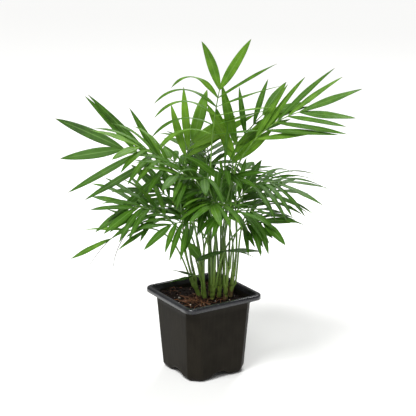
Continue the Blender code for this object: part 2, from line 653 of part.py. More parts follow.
def build_stem(index, cutter=False):
    """A stem as a tapered body; as a cutter, its part below the soil grown by the fit gap."""
    foot, way, length, radius = stem_line(index)
    spin = UP.rotation_difference(way).to_matrix()
    grow = FIT_GAP if cutter else 0.0
    if cutter:
        stations = [(-ROOT_DEPTH - grow, 0.95), (0.0, 1.1), (ROOT_DEPTH, 1.1)]
    else:
        stations = [(-ROOT_DEPTH, 0.95), (0.0, 1.1), (length * 0.3, 1.0), (length * 0.34, 0.93),
                    (length * 0.65, 0.87), (length * 0.69, 0.80), (length, 0.74)]
    mesh = bmesh.new()
    rings = []
    for height, share in stations:
        ring = []
        for k in range(8):
            angle = math.radians(45 * k)
            reach = radius * share + grow
            flat = Vector((math.cos(angle) * reach, math.sin(angle) * reach, height))
            ring.append(mesh.verts.new(foot + spin @ flat))
        rings.append(ring)
    for below, above in zip(rings, rings[1:]):
        join_loops(mesh, below, above)
    mesh.faces.new(rings[0][::-1])
    mesh.faces.new(rings[-1])
    if cutter:
        return finish_object('socket_%d' % (index + 1), mesh, 'cutters')
    stem = finish_object('stem_%d' % (index + 1), mesh)
    paint(stem, (0.30, 0.42, 0.09), 0.5)
    return stem


def build_crumb(name, row, flat, cutter=False):
    """A crumb half sunk in the soil: perlite is round, a bark chip is long and flat."""
    across, back, size, turn = row
    centre = place(across, back, 0) + UP * (SOIL_MOUND * 0.5)
    centre = centre + soil_heap(centre)
    grow = FIT_GAP if cutter else 0.0
    mesh = bmesh.new()
    if flat:
        bmesh.ops.create_cube(mesh, size=1.0)
        bmesh.ops.bevel(mesh, geom=mesh.edges[:], offset=0.18, segments=1, affect='EDGES')
        shape = Vector((size * 2.2, size * 0.9, size * 0.8)) * MM
    else:
        bmesh.ops.create_icosphere(mesh, subdivisions=1, radius=0.5)
        shape = Vector((size, size * 0.85, size * 0.8)) * (2 * MM)
    for k, vert in enumerate(mesh.verts):
        rough = 1.0 + 0.10 * vary(k, size)
        point = Vector((vert.co.x * shape.x, vert.co.y * shape.y, vert.co.z * shape.z)) * rough
        vert.co = point + point.normalized() * grow * 1.6
    bmesh.ops.rotate(mesh, verts=mesh.verts, matrix=Matrix.Rotation(math.radians(turn), 3, 'Z'))
    bmesh.ops.translate(mesh, verts=mesh.verts, vec=centre)
    if cutter:
        return finish_object(name + '_seat', mesh, 'cutters')
    crumb = finish_object(name, mesh)
    paint(crumb, (0.16, 0.07, 0.035) if flat else (0.75, 0.72, 0.66), 0.9)
    return crumb


def cut(body, cutters):
    for cutter in cutters:
        cutter.hide_render = True
        cutter.display_type = 'WIRE'
        seat = body.modifiers.new(cutter.name, 'BOOLEAN')
        seat.operation = 'DIFFERENCE'
        seat.solver = 'EXACT'
        seat.object = cutter


def solid_mesh(thing):
    """The finished faces of an object, for keeping the fronds clear of it."""
    seen = thing.evaluated_get(bpy.context.evaluated_depsgraph_get())
    data = seen.to_mesh()
    verts = [v.co.copy() for v in data.vertices]
    faces = [tuple(p.vertices) for p in data.polygons]
    seen.to_mesh_clear()
    return verts, faces


def build():
    for thing in list(bpy.data.objects):
        bpy.data.objects.remove(thing, do_unlink=True)
    for name in ('potted_palm', 'cutters'):
        collection = bpy.data.collections.new(name)
        bpy.context.scene.collection.children.link(collection)
    pot = build_pot()
    soil = build_soil()
    stems = [build_stem(i) for i in range(len(STEMS))]
    seats = [build_stem(i, cutter=True) for i in range(len(STEMS))]
    for kind, rows, flat in (('perlite', PERLITE, False), ('bark_chip', BARK, True)):
        for i, row in enumerate(rows):
            name = '%s_%d' % (kind, i + 1)
            build_crumb(name, row, flat)
            seats.append(build_crumb(name, row, flat, cutter=True))
    occupied = Occupied()
    for thing in [pot, soil] + stems:
        occupied.add(thing.name, *solid_mesh(thing))
    cut(soil, seats)
    axes = [settle_axis(i, row, occupied) for i, row in enumerate(FRONDS)]
    for number, row in enumerate(FRONDS):
        leaves = {}
        for pair in range(row[4] - 1, -1, -1):
            for side in (-1, 1):
                grown = settle_leaflet(row, number, axes[number], pair, side, occupied)
                if grown is not None:
                    leaves[(axes[number][4][pair], side)] = grown
        frond = build_frond('frond_%02d' % (number + 1), axes[number][3], axes[number][4], leaves)
        paint(frond, (0.07, 0.22, 0.03), 0.45)


build()
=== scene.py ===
"""Looks of the potted parlour palm: metres, +Z up, ground at z = 0.

The growth rules of the CAD model are repeated here, so that each detailed frond lies
where its plain CAD frond does.
"""
import math

import bmesh
import bpy
from mathutils import Matrix, Vector, noise
from mathutils.kdtree import KDTree


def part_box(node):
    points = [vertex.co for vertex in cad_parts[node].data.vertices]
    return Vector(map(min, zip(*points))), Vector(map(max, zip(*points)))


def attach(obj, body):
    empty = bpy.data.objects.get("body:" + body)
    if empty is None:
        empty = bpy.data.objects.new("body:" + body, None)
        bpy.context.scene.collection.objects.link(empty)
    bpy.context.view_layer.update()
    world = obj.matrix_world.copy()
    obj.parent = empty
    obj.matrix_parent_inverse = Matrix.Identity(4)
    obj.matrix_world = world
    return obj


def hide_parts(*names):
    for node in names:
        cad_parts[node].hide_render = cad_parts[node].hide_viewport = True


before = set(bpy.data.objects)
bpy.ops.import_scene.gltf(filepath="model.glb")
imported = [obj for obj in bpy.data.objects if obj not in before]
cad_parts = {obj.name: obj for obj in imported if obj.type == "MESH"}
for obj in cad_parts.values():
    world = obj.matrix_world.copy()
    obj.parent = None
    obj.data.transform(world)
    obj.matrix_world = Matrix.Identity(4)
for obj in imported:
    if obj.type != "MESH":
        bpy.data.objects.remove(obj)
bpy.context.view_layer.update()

MM = 0.001
UP = Vector((0.0, 0.0, 1.0))
ROOT = "root"

# ---- sizes shared with the CAD (metres)
POT_LOW, POT_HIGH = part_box("pot")
POT_HALF = (POT_HIGH.x - POT_LOW.x) / 2
POT_HEIGHT = POT_HIGH.z
RIM_OVERHANG = 0.00675      # rim beyond the wall, on each side
WALL_TAPER = 0.0060         # how far each wall leans in from the rim to the foot
WALL = 0.0010
LIP_HEIGHT = 0.0058
RIM_WIDTH = 0.0060
SHOULDER = 0.0060
RIM_CORNER = 0.0110
BODY_CORNER = 0.0120        # leg of the chamfer that each corner of the wall has
FOOT_ROUND = 0.0080
ARCH_RISE = 0.0060
ARCH_FLAT = 0.0050
ARCH_HALF = 0.0160
ARCH_REACH = 0.040
DRAIN_RADIUS = 0.0060
SOIL_DROP = 0.0115
SOIL_MOUND = 0.0015
SOIL_HEAP = 0.0035          # soil heaped against the wall at the clump's left
FIT_GAP = 0.0003
CHAMFER_INSET = 0.586       # a chamfer's leg shrinks by this share of how far it is inset

CLUMP_TURN = math.radians(-32.4)
PETIOLE_FOOT = 0.00125
PETIOLE_TOP = 0.00085
RACHIS_END = 0.00055
LEAFLET_FOOT = 0.0030
END_BROAD = 1.25
SIDE_SLIM = 0.82

BODY_SIDE = 2 * (POT_HALF - RIM_OVERHANG)
BASE_SIDE = BODY_SIDE - 2 * WALL_TAPER
SOIL_TOP = POT_HEIGHT - SOIL_DROP
OPENING = BODY_SIDE / 2 - WALL
ACROSS = Vector((math.cos(CLUMP_TURN), math.sin(CLUMP_TURN), 0.0))
BACK = Vector((-math.sin(CLUMP_TURN), math.cos(CLUMP_TURN), 0.0))

# stem: foot across and back, lean across and back, height over the soil, radius (mm)
STEMS = (
    (-5, 6, -10, 2, 30, 2.4),
    (2, -2, -4, 0, 44, 2.3),
    (9, 10, 0, 3, 52, 2.5),
    (11, -4, 3, -2, 40, 2.6),
    (19, 3, 3, 2, 56, 2.4),
    (27, -3, 3, -2, 46, 2.3),
    (33, 7, 6, 4, 42, 2.6),
)

# frond: stem, height on it (1 is its top), crown and tip (across, back, up; mm),
# pairs of leaflets, leaflet length and width (mm), angle to the midrib at the first
# pair and at the end pair, side the upper face looks to (heading, elevation), how far
# leaflets turn flat to the light, droop on each side; some have a lift and a sweep to one
# side (degrees)
FRONDS = (
    (2, 1.0, (11, 12, 202), (20, 4, 265), 6, 78, 9.5, 70, 20, -95, 30, 1.0, 0.3, 1.9, 4, 0),
    (0, 1.0, (-45, -4, 164), (-98, 2, 191), 4, 93, 10.5, 50, 18, -95, 25, 0.1, 0.1, 0.15, 2, -32),
    (1, 0.9, (-38, -34, 177), (-76, -58, 209), 5, 62, 9, 50, 22, -75, 60, 0.5, 0.9, 1.1),
    (0, 0.5, (-62, -10, 94), (-114, -18, 82), 3, 56, 8, 40, 12, -80, 55, 0.6, 0.3, 0.4),
    (1, 0.6, (-38, -24, 106), (-80, -44, 124), 5, 60, 9, 45, 22, -80, 50, 0.5, 0.5, 0.6),
    (4, 1.0, (60, -6, 202), (116, -14, 240), 5, 80, 9.5, 27, 12, -85, 45, 0.4, 0.2, 0.25, 2, 8),
    (5, 0.8, (50, 22, 198), (74, 28, 228), 3, 60, 9, 34, 11, -90, 40, 0.3, 0.3, 0.3, 4, 0),
    (6, 0.9, (56, -12, 147), (86, -22, 156), 5, 72, 8.5, 42, 16, -60, 70, 0.9, 1.1, 1.1),
    (1, 1.0, (-22, 26, 171), (-12, 34, 193), 3, 76, 12, 28, 14, -90, 10, 0.0, 0.05, 0.05),
    (4, 0.85, (36, 16, 168), (42, 10, 205), 4, 66, 15, 28, 14, -90, 15, 0.0, 0.05, 0.05),
    (6, 0.6, (44, -40, 135), (34, -66, 157), 4, 62, 12, 70, 35, -90, 60, 0.7, 1.3, 1.0),
    (3, 1.0, (-6, -38, 157), (-30, -68, 179), 5, 60, 9.5, 48, 20, -80, 55, 0.6, 0.9, 1.0),
    (3, 0.8, (14, -44, 135), (10, -82, 145), 5, 56, 8.5, 50, 22, -80, 65, 0.8, 0.9, 0.9),
    (5, 0.6, (34, -18, 115), (60, -36, 123), 4, 62, 8, 40, 16, -60, 65, 0.8, 0.8, 0.8),
    (0, 0.85, (-20, 41, 141), (-43, 71, 161), 5, 66, 9.5, 48, 18, 120, 65, 0.7, 0.6, 0.6),
    (6, 1.0, (42, 38, 135), (54, 70, 147), 5, 54, 8.5, 46, 18, 60, 65, 0.7, 0.8, 0.8),
    (2, 0.8, (8, 49, 155), (3, 88, 179), 5, 66, 9.5, 48, 18, 90, 65, 0.7, 0.6, 0.6),
    (1, 0.45, (-30, 33, 93), (-60, 57, 105), 5, 60, 8.5, 46, 18, 120, 65, 0.7, 0.7, 0.7),
    (4, 0.7, (48, 32, 97), (70, 54, 110), 5, 56, 8, 42, 18, 60, 65, 0.8, 0.9, 0.9),
    (3, 0.55, (-8, -34, 105), (-36, -60, 113), 5, 54, 8.5, 50, 20, -80, 60, 0.7, 0.8, 0.8),
    (5, 0.4, (22, -4, 149), (30, -24, 177), 5, 58, 9.5, 50, 20, -85, 50, 0.6, 0.6, 0.6),
    (2, 0.6, (-2, 30, 131), (-22, 56, 151), 5, 60, 9.5, 50, 20, -90, 60, 0.6, 0.6, 0.6),
    (4, 0.5, (22, -20, 68), (26, -30, 71), 2, 52, 13, 82, 78, -85, 70, 0.5, 0.6, 0.6),
    (1, 0.15, (-6, -6, 31), (-14, -8, 33), 1, 36, 4, 24, 22, -85, 60, 0.8, 0.3, 0.2),
    (1, 0.3, (-5, -10, 47), (-9, -12, 59), 1, 34, 10, 30, 20, -90, 10, 0.0, 0.1, 0.1),
    (1, 0.38, (-14, 8, 92), (-30, 4, 112), 4, 50, 8.5, 48, 22, -90, 45, 0.5, 0.6, 0.6),
    (3, 0.35, (4, 12, 98), (-4, 26, 122), 4, 52, 9, 48, 22, -90, 45, 0.5, 0.5, 0.5),
    (4, 0.32, (30, 14, 112), (42, 24, 136), 4, 52, 9, 46, 20, -85, 45, 0.5, 0.6, 0.6),
    (5, 0.92, (44, -14, 96), (60, -28, 106), 4, 54, 8, 44, 18, -70, 60, 0.7, 0.9, 0.9),
    (3, 0.45, (20, -52, 106), (26, -80, 116), 4, 54, 9.5, 50, 20, -85, 55, 0.7, 0.9, 0.9),
    (1, 0.75, (-18, -54, 126), (-32, -84, 136), 4, 54, 9.5, 50, 20, -85, 55, 0.7, 0.9, 0.9),
    (2, 0.45, (14, 46, 108), (18, 76, 120), 4, 56, 9.5, 48, 20, 90, 55, 0.7, 0.7, 0.7),
    (0, 0.7, (-34, 14, 118), (-56, 22, 132), 4, 54, 9.5, 48, 20, -90, 45, 0.6, 0.7, 0.7),
    (5, 0.7, (30, -34, 158), (44, -62, 170), 4, 56, 9.5, 48, 20, -85, 50, 0.7, 0.9, 0.9),
    (6, 0.4, (62, 6, 120), (88, 12, 130), 4, 60, 8, 44, 18, -60, 60, 0.8, 0.9, 0.9),
    (0, 0.35, (-52, -30, 122), (-82, -44, 130), 4, 56, 9, 46, 20, -85, 50, 0.6, 0.9, 0.9),
    (4, 0.58, (22, 42, 156), (34, 72, 174), 4, 60, 9.5, 48, 20, 90, 55, 0.7, 0.7, 0.7),
    (2, 0.3, (-4, -22, 134), (-14, -48, 150), 4, 54, 10, 50, 22, -85, 50, 0.6, 0.9, 0.9),
)

# leaflets that have dried to threads: frond, pair and side -> length (mm), droop, curl
DRY_LEAFLETS = {
    (3, 1, -1): (70, 2.2, 0.9),
    (3, 2, -1): (56, 1.2, -0.3),
    (22, 0, 1): (62, 2.4, -2.6),
}

LEAF_STEPS = 25
TURNS = (0, 6, -6, 12, -12, 18, -18)
LIFTS = (0, 12, -12, 24, -24, 36)
LENGTHS = (1.0, 0.8, 0.6, 0.4)
SWINGS = (0, 4, -4, 8, -8, 12, -12, 16, -16, 20, -20, 26, -26, 34, -34, 42, -42)
DROPS = (0.0, 0.12, 0.24, 0.36, -0.12)
SAME_PLACE = 0.00002        # how near a point is to a CAD vertex when they are the same

# ---- detail of the pot (metres)
CHAMFER_ROUND = 0.0020      # rounding along the edges of the corner chamfers
RIM_BEAD = 0.0024           # rounding of the rim's outer edge
MOUTH_BEAD = 0.0012         # and of its inner edge
LEDGE_DROP = 0.0040         # a small step in the wall this far under the shoulder
LEDGE_STEP = 0.0004

# ---- detail of the plant (metres)
# how light or dark a frond's leaves are painted, -1 to 1: fronds lit from behind get painted
# light, inner fronds of the clump get painted shade
FROND_PAINTED_LIGHT_AND_SHADE = (
    0.45, -0.25, 0.40, 0.55, 0.15, 0.35, 0.10, -0.35, 0.95, 0.85, -0.60, 0.20, 0.10,
    -0.20, 0.05, -0.20, 0.15, -0.15, -0.25, 0.05, -0.10, 0.20, -0.85, -0.30, -0.10, -0.45,
    -0.40, -0.35, -0.40, -0.35, -0.30, -0.45, -0.30, -0.15, -0.20, -0.10, -0.35, -0.40,
)
BLADE_THICKNESS = 0.00034
BLADE_ACROSS = (-1.0, -0.72, -0.42, -0.10, 0.0, 0.10, 0.42, 0.72, 1.0)
BLADE_FOLD = 0.16           # how far a blade's halves fold up, as a share of its half width
BLADE_WAVE = 0.00045        # wave along a blade's edges
THREAD_WIDTH = 0.0013
STALK_SIDES = 10
STALK_STEPS = 16
STALK_GROOVE = 0.28
RIB_STEPS = 6               # rings of the midrib for each pair of leaflets
KNOB_SWELL = 0.35           # how much thicker the midrib is where a pair grows
KNOB_LENGTH = 0.0014
SHEATH_REACH = 0.013        # how far the foot of a stalk wraps down its stem
STEM_SIDES = 18
STEM_RINGS = 40
STEM_ROOT = 0.004           # how far a stem goes on under the soil
SCAR_HEIGHTS = (0.16, 0.34, 0.69)
SCAR_LENGTH = 0.0007
HUSKS = ((6, 0.020), (5, 0.009), (2, 0.011), (0, 0.006))     # stem, height of its sheath
HUSK_THICK = 0.00022
HUSK_SIDES, HUSK_RINGS = 28, 9
SOIL_RINGS, SOIL_MARKS = 30, 30
FIBRES, FRONT_FIBRES = 90, 46
FIBRE_STEPS = 10
FLOOR_REACH = 80.0
LEAF, STALK, THREAD = 0, 1, 2               # finishes of a frond
BODY, RIM = 0, 1                            # finishes of the pot

# ---- the camera
VIEW_ELEVATION = 16.8       # degrees; it looks along the clump's depth
VIEW_DISTANCE = 1.8
VIEW_LENS = 128.5
VIEW_AIM_ACROSS = 0.0057
VIEW_AIM_UP = 0.208


# ---- growth rules of the CAD
def place(across, back, up):
    """A point of the clump (mm): across its broad side, back into it, up from the soil."""
    return (ACROSS * across + BACK * back) * MM + UP * (SOIL_TOP + up * MM)


def facing(heading, elevation):
    """A direction, from its heading in the clump and its elevation in degrees."""
    heading, elevation = math.radians(heading), math.radians(elevation)
    flat = ACROSS * math.cos(heading) + BACK * math.sin(heading)
    return flat * math.cos(elevation) + UP * math.sin(elevation)


def vary(*keys):
    """A fixed number from -1 to 1 for each set of keys."""
    total = sum((i + 1) * 12.9898 * key for i, key in enumerate(keys))
    wave = math.sin(total + 4.1) * 43758.5453
    return 2.0 * (wave - math.floor(wave)) - 1.0


def bezier(points, t):
    a, b, c, d = points
    u = 1.0 - t
    return a * u ** 3 + b * (3 * u * u * t) + c * (3 * u * t * t) + d * t ** 3


def across_to(vector, axis):
    """The part of a vector square to an axis, as a direction."""
    return (vector - axis * vector.dot(axis)).normalized()


def stem_line(index):
    """Where a stem enters the soil, its direction, its length over the soil, its radius."""
    foot_a, foot_b, lean_a, lean_b, height, radius = STEMS[index]
    foot = place(foot_a, foot_b, 0)
    top = place(foot_a + lean_a, foot_b + lean_b, height)
    return foot, (top - foot).normalized(), (top - foot).length, radius * MM


def stem_radius(radius, share):
    return radius * (1.1 - 0.35 * max(share, 0.0))


def frond_axis(row, swing, drop):
    """The curves of the stalk and of the midrib, and the direction the upper face looks."""
    stem, at, crown, tip = row[0:4]
    at = at - drop
    foot, way, length, radius = stem_line(stem)
    base = foot + way * (length * at)
    spin = Matrix.Rotation(math.radians(swing), 3, 'Z')
    crown = foot + spin @ (place(*crown) - foot)
    tip = foot + spin @ (place(*tip) - foot)
    out = across_to(crown - base, way)
    if at < 1.0:
        base = base + out * (stem_radius(radius, at) + PETIOLE_FOOT + FIT_GAP)
    else:
        base = base + way * FIT_GAP
    stalk = (crown - base).length
    rib = (tip - crown).length
    ahead = (tip - crown).normalized()
    bend = ((crown - base).normalized() * 0.4 + ahead * 0.6).normalized()
    end = (ahead - UP * 0.25 - (bend - ahead) * 0.3).normalized()
    petiole = (base, base + way * (stalk * 0.4), crown - bend * (stalk * 0.3), crown)
    rachis = (crown, crown + bend * (rib * 0.35), tip - end * (rib * 0.3), tip)
    return petiole, rachis, facing(row[9], row[10])


def rib_frame(rachis, face, t):
    """Point, direction, upper face and side of the midrib at t."""
    t0 = min(t, 0.98)
    along = (bezier(rachis, t0 + 0.02) - bezier(rachis, t0)).normalized()
    upper = across_to(face, along)
    return bezier(rachis, t), along, upper, along.cross(upper)


def leaf_station(row, rachis, pair):
    """How far along the midrib a pair grows: the last pair sits just short of its end."""
    edge = LEAFLET_FOOT / (rachis[3] - rachis[0]).length
    share = pair / (row[4] - 1) if row[4] > 1 else 1.0
    return edge + share * (1.0 - 2.0 * edge)


def leaf_line(row, number, rachis, face, pair, side, change):
    """The middle line of a leaflet, its width, and the upper face of its midrib."""
    pairs, leaf_length, leaf_width, first, last = row[4:9]
    turn, raised, share = change
    lift, sweep = row[14:] or (0, 0)
    droop = row[12] if side > 0 else row[13]
    along_rib = pair / (pairs - 1) if pairs > 1 else 1.0
    ends = pair == pairs - 1
    point, along, upper, right = rib_frame(rachis, face, leaf_station(row, rachis, pair))
    one, two, three = (vary(number, pair, side, key) for key in (0, 3, 7))
    angle = last if ends else first + (last - first) * 0.6 * along_rib
    angle = angle + side * sweep * (1.0 - along_rib)
    angle = math.radians(angle + 7.0 * one + turn)
    up = math.radians(lift + 9.0 * two + raised)
    out = right * (side * math.cos(up)) + upper * math.sin(up)
    start = (along * math.cos(angle) + out * math.sin(angle)).normalized()
    swell = 0.82 + 0.36 * math.sin(math.pi * (0.15 + 0.6 * along_rib)) - 0.18 * along_rib
    length = leaf_length * MM * swell * (1.0 + 0.14 * three) * share
    droop = droop * (1.0 + 0.25 * two) * (0.35 if ends else 1.0)
    width = leaf_width * MM * (END_BROAD if ends else SIDE_SLIM) * math.sqrt(share)
    curl = 0.0
    if (number, pair, side) in DRY_LEAFLETS:
        length, droop, curl = DRY_LEAFLETS[(number, pair, side)]
        length = length * MM * share
        width = THREAD_WIDTH
    line = [point]
    for step in range(LEAF_STEPS):
        s = (step + 0.5) / LEAF_STEPS
        way = start - UP * (droop * s ** 1.2) + along * (0.15 * s) + ACROSS * (curl * s * s)
        line.append(line[-1] + way.normalized() * (length / LEAF_STEPS))
    return line, width, upper


# ---- finding the CAD's own choices again
def vertex_tree(node):
    """The vertices of a CAD node, for looking a point up."""
    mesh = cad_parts[node].data
    tree = KDTree(len(mesh.vertices))
    for i, vert in enumerate(mesh.vertices):
        tree.insert(vert.co, i)
    tree.balance()
    return tree


def settled_axis(row, tree):
    """The stalk and midrib with the swing and drop that the CAD frond settled at."""
    best = None
    for drop in DROPS:
        for swing in SWINGS:
            petiole, rachis, face = frond_axis(row, swing, drop)
            end = bezier(rachis, 1.0 - LEAFLET_FOOT / (rachis[3] - rachis[0]).length / 2)
            away = abs(tree.find(end)[2] - RACHIS_END)
            away += abs(tree.find(petiole[0])[2] - PETIOLE_FOOT)
            if best is None or away < best[0]:
                best = (away, petiole, rachis, face)
            if away < SAME_PLACE * 4:
                return petiole, rachis, face
    return best[1:]


def settled_leaf(row, number, rachis, face, pair, side, tree):
    """A leaflet's line as the CAD settled it; None where the CAD frond has no leaflet."""
    for share in LENGTHS:
        for raised in LIFTS:
            for turn in TURNS:
                line, width, upper = leaf_line(row, number, rachis, face, pair, side,
                                               (turn, raised, share))
                if tree.find(line[-1])[2] < SAME_PLACE:
                    return line, width, upper
    return None


# ---- building of pieces
def put_in_scene(name, data):
    thing = bpy.data.objects.new(name, data)
    bpy.context.scene.collection.objects.link(thing)
    return thing


class Skin:
    """The faces of one piece while it is built, with what its materials read."""

    def __init__(self):
        self.points = []
        self.faces = []
        self.finish = []
        self.blade = []
        self.tone = []

    def ring(self, corners, tone=0.0, blades=None):
        """Adds points; a blade value holds (across, along, underside) of a leaf."""
        first = len(self.points)
        self.points += corners
        self.blade += blades if blades else [(0.0, 0.0, 0.0)] * len(corners)
        self.tone += [tone] * len(corners)
        return list(range(first, first + len(corners)))

    def join(self, before, after, finish=0):
        for k in range(len(before)):
            n = (k + 1) % len(before)
            self.faces.append((before[k], before[n], after[n], after[k]))
            self.finish.append(finish)

    def cap(self, ring, finish=0):
        self.faces.append(tuple(ring))
        self.finish.append(finish)

    def tube(self, rings, finish=0, turn=-1):
        """Joins rings one after another and closes both ends, which face opposite ways."""
        self.cap(rings[0][::turn], finish)
        for low, high in zip(rings, rings[1:]):
            self.join(low, high, finish)
        self.cap(rings[-1][::-turn], finish)

    def merge(self, shape, place_at, tone):
        """Adds a ready shape of points and faces, put in its place."""
        points, faces = shape
        ring = self.ring([place_at(p) for p in points], tone)
        for face in faces:
            self.cap([ring[i] for i in face])

    def piece(self, name, materials):
        mesh = bpy.data.meshes.new(name)
        mesh.from_pydata([tuple(p) for p in self.points], [], self.faces)
        for material in materials:
            mesh.materials.append(material)
        mesh.polygons.foreach_set('material_index', self.finish)
        mesh.polygons.foreach_set('use_smooth', [True] * len(self.faces))
        blade = mesh.attributes.new('blade', 'FLOAT_VECTOR', 'POINT')
        blade.data.foreach_set('vector', [v for triple in self.blade for v in triple])
        tone = mesh.attributes.new('tone', 'FLOAT', 'POINT')
        tone.data.foreach_set('value', self.tone)
        mesh.update()
        repair = bmesh.new()
        repair.from_mesh(mesh)
        bmesh.ops.recalc_face_normals(repair, faces=repair.faces)
        repair.to_mesh(mesh)
        repair.free()
        thing = put_in_scene(name, mesh)
        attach(thing, ROOT)
        return thing


def round_ring(centre, ahead, upper, radius, sides, groove=0.0):
    """A ring round a stalk; a groove flattens the side that the upper face looks to."""
    right = ahead.cross(upper)
    ring = []
    for k in range(sides):
        angle = 2 * math.pi * k / sides
        lift = max(math.sin(angle), 0.0)
        reach = radius * (1.0 - groove * lift ** 3)
        ring.append(centre + right * (math.cos(angle) * reach) + upper * (math.sin(angle) * reach))
    return ring


# ---- materials
class Graph:
    """Short calls for wiring the nodes of one material."""

    def __init__(self, name):
        self.material = bpy.data.materials.new(name)
        self.material.use_nodes = True
        self.tree = self.material.node_tree
        self.shader = self.tree.nodes['Principled BSDF']
        self.output = self.tree.nodes['Material Output']

    def node(self, kind, inputs=None, **settings):
        """A node with its settings and what feeds its inputs."""
        made = self.tree.nodes.new(kind)
        for key, value in settings.items():
            setattr(made, key, value)
        for key, value in (inputs or {}).items():
            self.feed(made.inputs[key], value)
        return made

    def feed(self, socket, value):
        """Links another node's output to a socket, or sets the socket to a plain value."""
        if isinstance(value, bpy.types.NodeSocket):
            self.tree.links.new(value, socket)
        else:
            socket.default_value = (*value, 1.0) if socket.type == 'RGBA' else value

    def value(self, name):
        """The Fac output of a float attribute of the mesh."""
        return self.node('ShaderNodeAttribute', attribute_name=name).outputs['Fac']

    def blade(self):
        """How far across a blade, how far along it, and 1 on its underside."""
        made = self.node('ShaderNodeAttribute', attribute_name='blade')
        return self.split(made.outputs['Vector'])

    def split(self, vector):
        return self.node('ShaderNodeSeparateXYZ', {0: vector}).outputs

    def math(self, operation, *values):
        inputs = dict(enumerate(values))
        return self.node('ShaderNodeMath', inputs, operation=operation).outputs[0]

    def times(self, one, two):
        return self.math('MULTIPLY', one, two)

    def less(self, one, two):
        return self.math('SUBTRACT', one, two)

    def plus(self, base, value, gain):
        """The base with a share of a value added."""
        return self.math('ADD', base, self.times(value, gain))

    def steps(self, value, low, high):
        """0 below low, 1 above high, smooth between."""
        inputs = {'Value': value, 'From Min': low, 'From Max': high}
        made = self.node('ShaderNodeMapRange', inputs, interpolation_type='SMOOTHSTEP')
        return made.outputs['Result']

    def mix(self, share, one, two):
        inputs = {'Factor': share, 6: one, 7: two}
        return self.node('ShaderNodeMix', inputs, data_type='RGBA').outputs[2]

    def blend(self, value, low, high, one, two):
        """One colour where the value is low, the other where it is high."""
        return self.mix(self.steps(value, low, high), one, two)

    def over(self, colour, top, share, most):
        """A colour with another laid over it, by a share of at most the given one."""
        return self.mix(self.times(share, most), colour, top)

    def place(self):
        """A point of the object, in its own metres."""
        return self.node('ShaderNodeTexCoord').outputs['Object']

    def noise(self, scale, detail=3.0, stretch=(1.0, 1.0, 1.0), rough=0.55):
        """Noise over the object; scale is cells per metre."""
        mapped = self.node('ShaderNodeMapping', {'Vector': self.place(), 'Scale': stretch})
        inputs = {'Vector': mapped.outputs['Vector'], 'Scale': scale, 'Detail': detail,
                  'Roughness': rough}
        return self.node('ShaderNodeTexNoise', inputs).outputs['Fac']

    def lowness(self, bottom, top):
        """1 below the bottom height, 0 above the top one."""
        return self.less(1.0, self.steps(self.split(self.place())[2], bottom, top))

    def bump(self, height, distance, strength, under=None):
        inputs = {'Height': height, 'Distance': distance, 'Strength': strength}
        if under is not None:
            inputs['Normal'] = under
        return self.node('ShaderNodeBump', inputs).outputs['Normal']

    def finish(self, colour, roughness, normal=None, specular=0.5):
        """Feeds the surface and gives back the material."""
        self.feed(self.shader.inputs['Base Color'], colour)
        self.feed(self.shader.inputs['Roughness'], roughness)
        self.feed(self.shader.inputs['Specular IOR Level'], specular)
        if normal is not None:
            self.feed(self.shader.inputs['Normal'], normal)
        return self.material


def leaf_material():
    """A living blade: veins along it, paler midrib and underside, light through it."""
    g = Graph('living_leaf')
    across, along, under = g.blade()
    mottle = g.noise(70.0, 4.0)
    fine = g.noise(600.0)
    bright = (0.2, 0.4, 0.028)
    # the blade colour runs from dark to bright along 'tone', which holds each frond's painted
    # light and shade, and along a random mottle
    share = g.plus(g.plus(0.5, g.value('tone'), 0.5), g.less(mottle, 0.5), 0.9)
    colour = g.blend(share, 0.0, 0.55, (0.011, 0.04, 0.003), (0.052, 0.15, 0.008))
    colour = g.blend(share, 0.5, 1.15, colour, bright)
    vein = g.math('SINE', g.times(across, 34.0))
    colour = g.over(colour, bright, g.steps(vein, 0.2, 1.0), 0.22)
    rib = g.less(1.0, g.steps(g.math('ABSOLUTE', across), 0.03, 0.11))
    colour = g.over(colour, (0.24, 0.42, 0.1), rib, 0.55)
    colour = g.over(colour, (0.12, 0.24, 0.06), under, 0.3)
    dry_tip = g.steps(g.plus(along, fine, 0.03), 0.975, 1.01)
    colour = g.over(colour, (0.2, 0.13, 0.035), dry_tip, 0.7)
    rough = g.plus(g.plus(0.36, fine, 0.16), under, 0.14)
    ridges = g.plus(g.times(vein, 0.5), fine, 0.5)
    g.finish(colour, rough, g.bump(ridges, 0.00012, 0.8), 0.26)
    glow = g.node('ShaderNodeBsdfTranslucent', {'Color': g.mix(0.65, colour, (0.3, 0.62, 0.05))})
    shares = {'Fac': 0.32, 1: g.shader.outputs[0], 2: glow.outputs[0]}
    g.feed(g.output.inputs['Surface'], g.node('ShaderNodeMixShader', shares).outputs[0])
    return g.material


def stalk_material():
    """Smooth waxy stalk: yellow-green, paler low down, faint lines along it."""
    g = Graph('living_stalk')
    streak = g.noise(260.0, 3.0, (1.0, 1.0, 0.06))
    spot = g.noise(900.0, 2.0)
    colour = g.blend(streak, 0.35, 0.7, (0.045, 0.12, 0.012), (0.15, 0.3, 0.036))
    colour = g.over(colour, (0.23, 0.36, 0.06), g.lowness(SOIL_TOP, SOIL_TOP + 0.11), 0.55)
    colour = g.over(colour, (0.28, 0.4, 0.08), g.steps(g.value('tone'), 0.0, 1.0), 0.45)
    colour = g.over(colour, (0.16, 0.2, 0.05), g.steps(spot, 0.62, 0.75), 0.35)
    return g.finish(colour, g.plus(0.3, streak, 0.2), g.bump(streak, 0.0003, 0.6))


def thread_material():
    """A leaflet dried to a thread: grey-brown with a greener root."""
    g = Graph('dry_leaflet')
    along = g.blade()[1]
    patch = g.noise(300.0)
    colour = g.blend(patch, 0.35, 0.65, (0.014, 0.015, 0.01), (0.045, 0.04, 0.026))
    colour = g.mix(g.less(1.0, g.steps(along, 0.0, 0.35)), colour, (0.07, 0.15, 0.03))
    return g.finish(colour, 0.75, g.bump(patch, 0.0002, 0.6))


